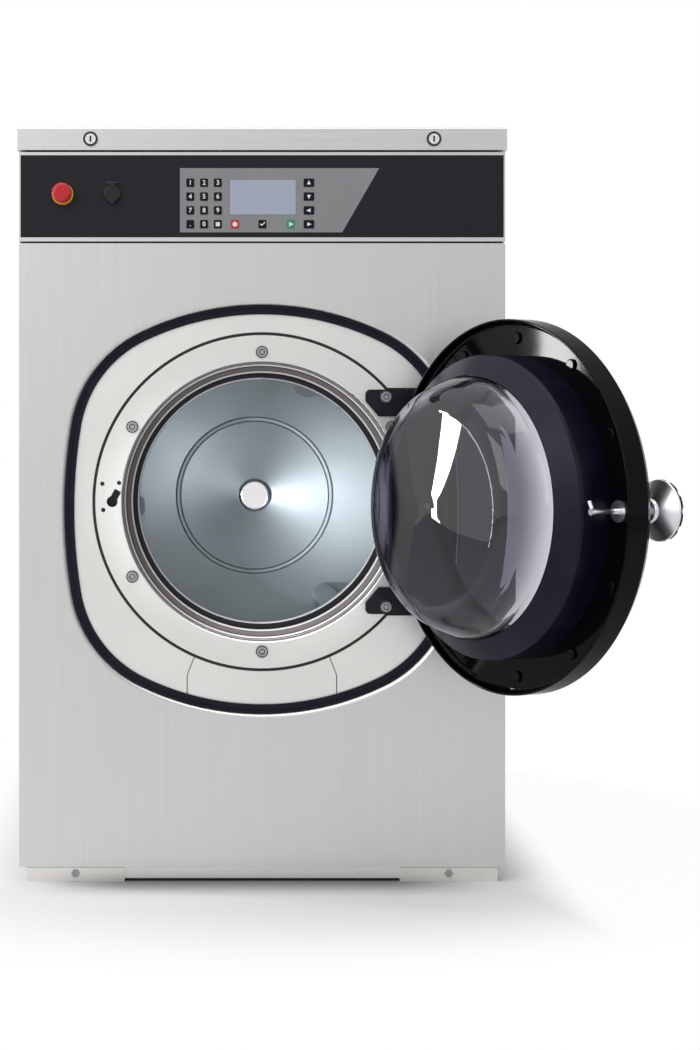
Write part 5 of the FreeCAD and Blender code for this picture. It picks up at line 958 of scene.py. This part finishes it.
class WASHER_OT_cabinet(bpy.types.Operator):
    """Finish the cabinet's sheet metal, base and feet"""

    bl_idname = "washer.cabinet"
    bl_label = "Cabinet finishes"

    def execute(self, context):
        colors = context.scene.washer_finish
        steel = tuple(colors.stainless)
        lid_face = highest("top_lid").z - LID_FACE_MARGIN
        dress("front_panel control_frame", satin_steel("Satin stainless", steel, UP))
        dress("top_lid", satin_steel("Satin stainless lid", steel, ACROSS, shaded_dull_above=lid_face))
        dress("left_side_panel right_side_panel rear_panel lid_hinges",
              painted_sheet("Grey powder coat", tuple(colors.side_paint)))
        # Painted light: the base is a lighter copy of the front's stainless
        dress("base_frame", satin_steel("Satin base", shade(steel, 1.2), ACROSS, roughness=0.38))
        dress("corner_feet", satin_steel("Foot plate", (0.86, 0.84, 0.81), ACROSS, roughness=0.36))
        dress("foot_bolts", plain_steel("Bolt zinc", (0.40, 0.41, 0.43), roughness=0.3))
        dress("recess_seal", rubber("Recess rubber", (0.007, 0.005, 0.014), specular=0.2))
        dress("lid_buffers", rubber("Buffer rubber", (0.02, 0.02, 0.021), roughness=0.6))
        return {"FINISHED"}


class WASHER_OT_controls(bpy.types.Operator):
    """Finish the control strip and print its keys and display"""

    bl_idname = "washer.controls"
    bl_label = "Control strip"

    def execute(self, context):
        colors = context.scene.washer_finish
        dress("control_fascia", film("Fascia film", tuple(colors.fascia), roughness=0.30, specular=0.25))
        dress("keypad_overlay", film("Keypad film", tuple(colors.overlay)))
        dress("display_window", display_face("Display face", tuple(colors.display)))
        dress("control_electronics", matt_moulding("Electronics housing", (0.03, 0.032, 0.035)))
        dress("stop_collar", gloss_moulding("Stop yellow", (0.72, 0.46, 0.012), roughness=0.22, coat=0.2))
        dress("stop_button",
              gloss_moulding("Stop red", tuple(colors.stop_red), roughness=0.22, coat=0.1, specular=0.35))
        dress("service_socket", matt_moulding("Socket black", (0.004, 0.004, 0.005), roughness=0.3))
        dress("dust_cap", matt_moulding("Cap black", (0.004, 0.004, 0.005), roughness=0.26, specular=0.4))
        dress("lock_bezels", gloss_moulding("Bezel black", (0.012, 0.012, 0.013), roughness=0.2, coat=0.2))
        dress("lock_left lock_right",
              plain_steel("Lock plating", (0.93, 0.93, 0.93), roughness=0.3, metal=0.6))
        self.shade_keyways()
        self.lay_keys(context.scene.washer_detail)
        return {"FINISHED"}

    @staticmethod
    def shade_keyways():
        """Painted shade: dark plates that cover the key slots of the lid's locks."""
        black = matt_moulding("Shutter black", (0.006, 0.006, 0.007))
        for lock in ("lock_left", "lock_right"):
            shape = bmesh.new()
            add_plate(shape, middle(lock).x, middle("lock_bezels").z, rectangle(*KEY_SLOT),
                      lowest(lock).y - SKIN, SKIN)
            fit(from_bmesh(lock + "_shutter", outward(shape), black), lock)

    @staticmethod
    def lay_keys(sizes):
        """Key caps on the keypad's film, and the marks printed on them."""
        left, face, _ = lowest("keypad_overlay")
        columns = [left + FIRST_KEY_X + column * KEY_PITCH_X for column in range(3)]
        rows = [highest("keypad_overlay").z - FIRST_KEY_DROP - row * KEY_PITCH_Z for row in range(4)]
        half_way = (rows[0] + rows[3]) / 2
        cancel = left + CANCEL_KEY_X
        accept = left + ACCEPT_KEY_X
        start = left + START_KEY_X
        arrow = left + ARROW_KEY_X
        black = film("Key black", (0.008, 0.008, 0.012), roughness=0.32, specular=0.15)
        red = film("Key red", (0.62, 0.03, 0.035), roughness=0.32, specular=0.2)
        green = film("Key green", (0.03, 0.30, 0.17), roughness=0.32, specular=0.2)
        caps = cap_grove()
        for name, finish, across, down, width, x, z in (
                ("digit_keys", black, 3, 4, sizes.key_width, columns[1], half_way),
                ("arrow_keys", black, 1, 4, ARROW_KEY_WIDTH, arrow, half_way),
                ("accept_key", black, 1, 1, sizes.key_width, accept, rows[3]),
                ("cancel_key", red, 1, 1, sizes.key_width, cancel, rows[3]),
                ("start_key", green, 1, 1, sizes.key_width, start, rows[3])):
            cap = caps.grow(name, Finish=finish, Columns=across, Rows=down, Pitch_X=KEY_PITCH_X,
                            Pitch_Z=KEY_PITCH_Z, Width=width, Height=sizes.key_height, Rounding=KEY_ROUNDING,
                            Thickness=sizes.key_film, Middle=(x, face, z))
            fit(add_object(name, cap), "cabinet")
        marks = [(columns[2], rows[3], rectangle(SQUARE_REACH, SQUARE_REACH))]
        for z, turn in zip(rows, ARROW_TURNS):
            marks.append((arrow, z, around(MARK_REACH, [turn + angle for angle in ARROW_CORNERS])))
        marks.append((accept, rows[3], TICK))
        marks.append((cancel, rows[3], around(MARK_REACH, OCTAGON_CORNERS)))
        marks.append((start, rows[3], START_ARROW))
        front = face - sizes.key_film
        legends = bmesh.new()
        for place, digit in enumerate(DIGITS):
            add_text(legends, digit, sizes.digit_size, (columns[place % 3], front, rows[place // 3]))
        for x, z, outline in marks:
            add_plate(legends, x, z, outline, front - INK_THICK, INK_THICK)
        white = ink("Key ink", (0.80, 0.80, 0.80))
        fit(from_bmesh("key_legends", outward(legends), white), "cabinet")


class WASHER_OT_surround(bpy.types.Operator):
    """Finish the plates, ring, bolts and hinges around the door"""

    bl_idname = "washer.surround"
    bl_label = "Door surround"

    def execute(self, context):
        pale = tuple(context.scene.washer_finish.surround)
        dress("surround_plate lower_access_cover", pale_plate("Surround plate", pale))
        # Painted shade: the ring's face is a darker copy of the surround's colour
        dress("door_ring", ring_steel("Door ring steel", shade(pale, 0.95)))
        # Painted shade: the carrier's face, seen as the groove's floor, is dark for the shade in the groove
        dress("surround_carrier", painted_sheet("Groove brown", (0.022, 0.016, 0.014), roughness=0.6))
        dress("ring_bolts", plain_steel("Bolt plating", (0.52, 0.52, 0.53), roughness=0.26))
        dress("door_hinges hinge_arms",
              gloss_moulding("Hinge black", (0.008, 0.007, 0.014), roughness=0.26, coat=0.05, specular=0.25))
        dress("door_lock", plain_steel("Lock housing", (0.10, 0.10, 0.11), roughness=0.5))
        self.shadow_bolts()
        self.shade_pinholes()
        return {"FINISHED"}

    @staticmethod
    def shadow_bolts():
        """Painted shadow: thin dark rings where the bolts' heads meet the ring and where their sockets begin.
        """
        shape = bmesh.new()
        for low, high in islands("ring_bolts"):
            x, _, z = (low + high) / 2
            head = (high.x - low.x) / 2
            for inner, outer in (HEAD_SHADOW_RING, SOCKET_SHADOW_RING):
                add_annulus(shape, x, z, low.y - SKIN, head * inner, head * outer)
        shadow = matt_moulding("Bolt shadow", (0.02, 0.018, 0.02))
        fit(from_bmesh("bolt_outlines", outward(shape), shadow), "tub")

    @staticmethod
    def shade_pinholes():
        """Painted shade: dark rubber-finished rings in and around the ring's three small holes beside the
        keyhole.
        """
        shape = bmesh.new()
        front = lowest("surround_plate").y - SKIN
        for x, rise in PINHOLES:
            add_annulus(shape, x, AXIS_HEIGHT + rise, front, PINHOLE_SHADE_BORE, PINHOLE_SHADE_RADIUS)
        pinhole_shade = rubber("Eyelet rubber", (0.012, 0.010, 0.014))
        fit(from_bmesh("hole_eyelets", outward(shape), pinhole_shade), "tub")


class WASHER_OT_door(bpy.types.Operator):
    """Finish the door, its glass and its turn handle"""

    bl_idname = "washer.door"
    bl_label = "Door"

    def execute(self, context):
        colors = context.scene.washer_finish
        black = tuple(colors.door_black)
        dress("door_dish door_screws", gloss_moulding("Dish black", black, roughness=0.05, specular=0.1))
        dress("door_trim", gloss_moulding("Trim black", black, roughness=0.06, specular=0.1))
        dress("handle_grip", gloss_moulding("Grip black", black, roughness=0.14, specular=0.3))
        dress("door_seal", rubber("Door rubber", tuple(colors.door_rubber), roughness=0.36, specular=0.2))
        dress("door_glass", tinted_glass("Door glass", tuple(colors.glass_rim), tuple(colors.glass_dome_shade)))
        dress("handle_knob handle_bush latch_shaft",
              chrome("Handle plating", (0.84, 0.84, 0.89), roughness=0.28))
        return {"FINISHED"}


class WASHER_OT_drum(bpy.types.Operator):
    """Finish the drum and paint shade discs where its wall's holes are"""

    bl_idname = "washer.drum"
    bl_label = "Drum"

    def execute(self, context):
        steel = tuple(context.scene.washer_finish.drum_steel)
        # Painted light and shade: the wall is a lighter copy of the drum's steel, the back a darker copy
        dress("drum_shell", spun_steel("Spun drum wall", shade(steel, 1.15)))
        dress("drum_back", spun_steel("Spun drum back", shade(steel, 0.62), dish=0.14))
        dress("hub_cap", plain_steel("Hub steel", (1.0, 0.98, 0.99), roughness=0.2))
        dress("lifters", satin_steel("Lifter steel", steel, ALONG, roughness=0.24))
        dress("drum_spider drum_pulley motor_pulley bearing_housing",
              casting("Painted iron", (0.10, 0.105, 0.11)))
        self.shade_wall_holes(context.scene.washer_detail)
        return {"FINISHED"}

    @staticmethod
    def shade_wall_holes(sizes):
        """Painted shade: dark discs on the inside of the drum's wall, where its holes are."""
        low = lowest("drum_shell")
        high = highest("drum_shell")
        wall = (high.x - low.x) / 2 - DRUM_WALL
        length = high.y - low.y - 2 * HOLE_END_MARGIN
        dark = plain_steel("Hole shadow", (0.02, 0.022, 0.025), roughness=0.5)
        holes = hole_grove().grow(
            "drum_holes", Finish=dark, Columns=round(2 * math.pi * wall / sizes.hole_pitch),
            Rows=round(length / sizes.hole_pitch) + 1, Radius=wall - HOLE_LIFT, Front=low.y + HOLE_END_MARGIN,
            Length=length, Axis_height=AXIS_HEIGHT, Hole_radius=sizes.hole_radius)
        fit(add_object("drum_holes", holes), "drum")


class WASHER_OT_machinery(bpy.types.Operator):
    """Finish what stands inside the cabinet and the fittings at its back"""

    bl_idname = "washer.machinery"
    bl_label = "Machinery"

    def execute(self, context):
        dress("tub tub_fittings", plain_steel("Tub sheet", (0.58, 0.60, 0.62), roughness=0.34))
        dress("suspension_brackets dampers",
              plain_steel("Suspension zinc", (0.56, 0.58, 0.62), roughness=0.4))
        dress("suspension_springs", painted_sheet("Spring coat", (0.022, 0.022, 0.024), roughness=0.42))
        dress("bearings", plain_steel("Bearing steel", (0.62, 0.62, 0.63), roughness=0.2))
        dress("motor", painted_sheet("Motor enamel", (0.10, 0.115, 0.14), roughness=0.4))
        dress("drive_belt", rubber("Belt rubber", (0.014, 0.014, 0.015), roughness=0.6))
        dress("drain_bellows", rubber("Bellows rubber", (0.016, 0.016, 0.017), roughness=0.55))
        dress("drain_pipe", matt_moulding("Drain grey", (0.16, 0.165, 0.17)))
        dress("inlet_valves", matt_moulding("Valve white", (0.55, 0.55, 0.53)))
        dress("power_gland", matt_moulding("Gland black", (0.018, 0.018, 0.019)))
        stretch("spring_coils", "suspension_springs")
        stretch("bellows_sleeve", "drain_bellows")
        return {"FINISHED"}


class WASHER_OT_screws(bpy.types.Operator):
    """Add the screws that hold the rear and side panels"""

    bl_idname = "washer.screws"
    bl_label = "Panel screws"

    def execute(self, context):
        sizes = context.scene.washer_detail
        plated = plain_steel("Screw zinc", (0.58, 0.60, 0.63), roughness=0.3)
        grove = screw_grove()
        merged = bmesh.new()
        for count, start, step, turn in self.rear_rows(sizes.screw_pitch) + self.side_rows(sizes.screw_pitch):
            row = grove.grow("screw_row", Finish=plated, Count=count, Start=start, Step=step,
                             Radius=sizes.screw_radius, Turn=turn)
            merged.from_mesh(row)
            bpy.data.meshes.remove(row)
        fit(from_bmesh("panel_screws", merged, plated), "cabinet")
        return {"FINISHED"}

    @staticmethod
    def rear_rows(pitch):
        """Count, start, step and turn of the rows along the rear panel's four edges."""
        low = lowest("rear_panel")
        high = highest("rear_panel")
        back = high.y + SCREW_RISE
        turn = (-math.pi / 2, 0.0, 0.0)
        start_z, count_z, step_z = spread(low.z, high.z, REAR_END_Z, pitch)
        start_x, count_x, step_x = spread(low.x, high.x, REAR_END_X, pitch)
        upright = [(count_z, (x, back, start_z), (0.0, 0.0, step_z), turn)
                   for x in (low.x + REAR_INSET, high.x - REAR_INSET)]
        level = [(count_x, (start_x, back, z), (step_x, 0.0, 0.0), turn)
                 for z in (low.z + REAR_INSET, high.z - REAR_INSET)]
        return upright + level

    @staticmethod
    def side_rows(pitch):
        """Count, start, step and turn of the rows along the side panels' lower and upper edges."""
        rows = []
        for node, way in (("left_side_panel", -1), ("right_side_panel", 1)):
            low = lowest(node)
            high = highest(node)
            side = (high.x if way > 0 else low.x) + way * SCREW_RISE
            start, count, step = spread(low.y, high.y, SIDE_END_Y, pitch)
            for z in (low.z + SIDE_INSET, high.z - SIDE_INSET):
                rows.append((count, (side, start, z), (0.0, step, 0.0), (0.0, way * math.pi / 2, 0.0)))
        return rows


class WASHER_OT_stage(bpy.types.Operator):
    """Set up the pale floor, the soft lamps and the camera"""

    bl_idname = "washer.stage"
    bl_label = "Studio"

    def execute(self, context):
        stage = context.scene.washer_stage
        self.floor(tuple(stage.floor_color))
        for name, place, target, size, power in SOFT_LAMPS:
            data = bpy.data.lights.new(name, "AREA")
            data.shape = "RECTANGLE"
            data.size, data.size_y = size
            self.hang(data, place, target, getattr(stage, power))
        for name, place, target, power in DRUM_SPOTS:
            data = bpy.data.lights.new(name, "SPOT")
            data.spot_size = SPOT_ANGLE
            data.spot_blend = SPOT_BLEND
            data.shadow_soft_size = SPOT_SOFTNESS
            self.hang(data, place, target, getattr(stage, power))
        self.room(context.scene, stage.room_light)
        self.camera(context.scene, stage)
        context.scene.view_settings.view_transform = "Standard"
        return {"FINISHED"}

    @staticmethod
    def hang(data, place, target, power):
        """Hang a lamp that the camera doesn't see, turned to its target."""
        data.energy = power
        lamp = add_object(data.name, data)
        lamp.visible_camera = False
        lamp.location = place
        lamp.rotation_euler = (Vector(target) - Vector(place)).to_track_quat("-Z", "Y").to_euler()

    @staticmethod
    def floor(color):
        """Pale disc with a painted shadow along the base's front, that turns white to the camera away from
        the machine.
        """
        finish = Finish("Pale floor")
        x, y, _ = finish.axes()
        beside = x.absolute()
        reach = (x * x + y * y).root()
        ahead = (y - BASE_FRONT).absolute()
        shaded = (1.0 - ahead.step(0.0, SHADE_DEPTH)) * (1.0 - beside.step(*SHADE_SIDES))
        tone = finish.mix(finish.noise(40.0, 3.0), color, shade(color, 0.98))
        # Painted shadow on the floor along the base's front
        tone = finish.mix(shaded * SHADE_STRENGTH, tone, SHADE_GREY)
        matt = finish.node("ShaderNodeBsdfDiffuse", None, {"Color": tone})
        bright = finish.node("ShaderNodeEmission", None, {"Color": WHITE, "Strength": 1.0})
        blank = reach.step(*WHITE_REACH).larger(beside.step(*WHITE_SIDES) * WHITE_BESIDE)
        finish.end(finish.node("ShaderNodeMixShader", None, {0: finish.seen() * blank, 1: matt, 2: bright}))
        shape = bmesh.new()
        bmesh.ops.create_circle(shape, cap_ends=True, segments=FLOOR_SIDES, radius=FLOOR_RADIUS)
        from_bmesh("studio_floor", outward(shape), finish.material)

    @staticmethod
    def room(scene, strength):
        """White to the camera and to glass, and a softer room for light and for metal's reflections."""
        scene.world = bpy.data.worlds.new("Studio room")
        shader = Shader(scene.world, "ShaderNodeOutputWorld")
        x, y, _ = shader.axes("Generated")
        wall = y.ramp(*ROOM_FRONT, "SMOOTHSTEP") * x.ramp(*ROOM_SIDE)
        light = shader.blend(shader.ray("Is Glossy Ray"), wall * strength, wall * y.ramp(*ROOM_REAR))
        shown = shader.blend(shader.seen(), light, 1.0)
        shader.end(shader.node("ShaderNodeBackground", None, {"Color": WHITE, "Strength": shown}))

    @staticmethod
    def camera(scene, stage):
        """Level camera at the photograph's place."""
        data = bpy.data.cameras.new("Photo camera")
        data.sensor_fit = "AUTO"
        data.sensor_width = SENSOR_WIDTH
        data.lens = stage.camera_lens
        data.shift_x, data.shift_y = stage.camera_shift
        scene.camera = add_object("Photo camera", data)
        scene.camera.location = stage.camera_place
        scene.camera.rotation_euler = (math.pi / 2, 0.0, 0.0)


class WASHER_PT_panel(bpy.types.Panel):
    """Lists the washer's steps and settings"""

    bl_idname = "WASHER_PT_panel"
    bl_label = "Washer"
    bl_space_type = "VIEW_3D"
    bl_region_type = "UI"
    bl_category = "Washer"

    def draw(self, context):
        layout = self.layout
        for operator in OPERATORS:
            layout.operator(operator.bl_idname)
        for group in SETTINGS:
            settings = getattr(context.scene, group)
            box = layout.box()
            for name in settings.__annotations__:
                box.prop(settings, name)


SETTINGS = {"washer_finish": WasherFinishSettings, "washer_detail": WasherDetailSettings,
            "washer_stage": WasherStageSettings}
OPERATORS = (WASHER_OT_stage, WASHER_OT_cabinet, WASHER_OT_controls, WASHER_OT_surround, WASHER_OT_door,
             WASHER_OT_drum, WASHER_OT_machinery, WASHER_OT_screws)
CLASSES = (*SETTINGS.values(), *OPERATORS, WASHER_PT_panel)


def register():
    for cls in CLASSES:
        bpy.utils.register_class(cls)
    for name, group in SETTINGS.items():
        setattr(bpy.types.Scene, name, bpy.props.PointerProperty(type=group))


def unregister():
    for name in SETTINGS:
        delattr(bpy.types.Scene, name)
    for cls in reversed(CLASSES):
        bpy.utils.unregister_class(cls)


def main():
    register()
    bpy.ops.washer.stage()
    bpy.ops.washer.cabinet()
    bpy.ops.washer.controls()
    bpy.ops.washer.surround()
    bpy.ops.washer.door()
    bpy.ops.washer.drum()
    bpy.ops.washer.machinery()
    bpy.ops.washer.screws()


if __name__ == "__main__":
    main()
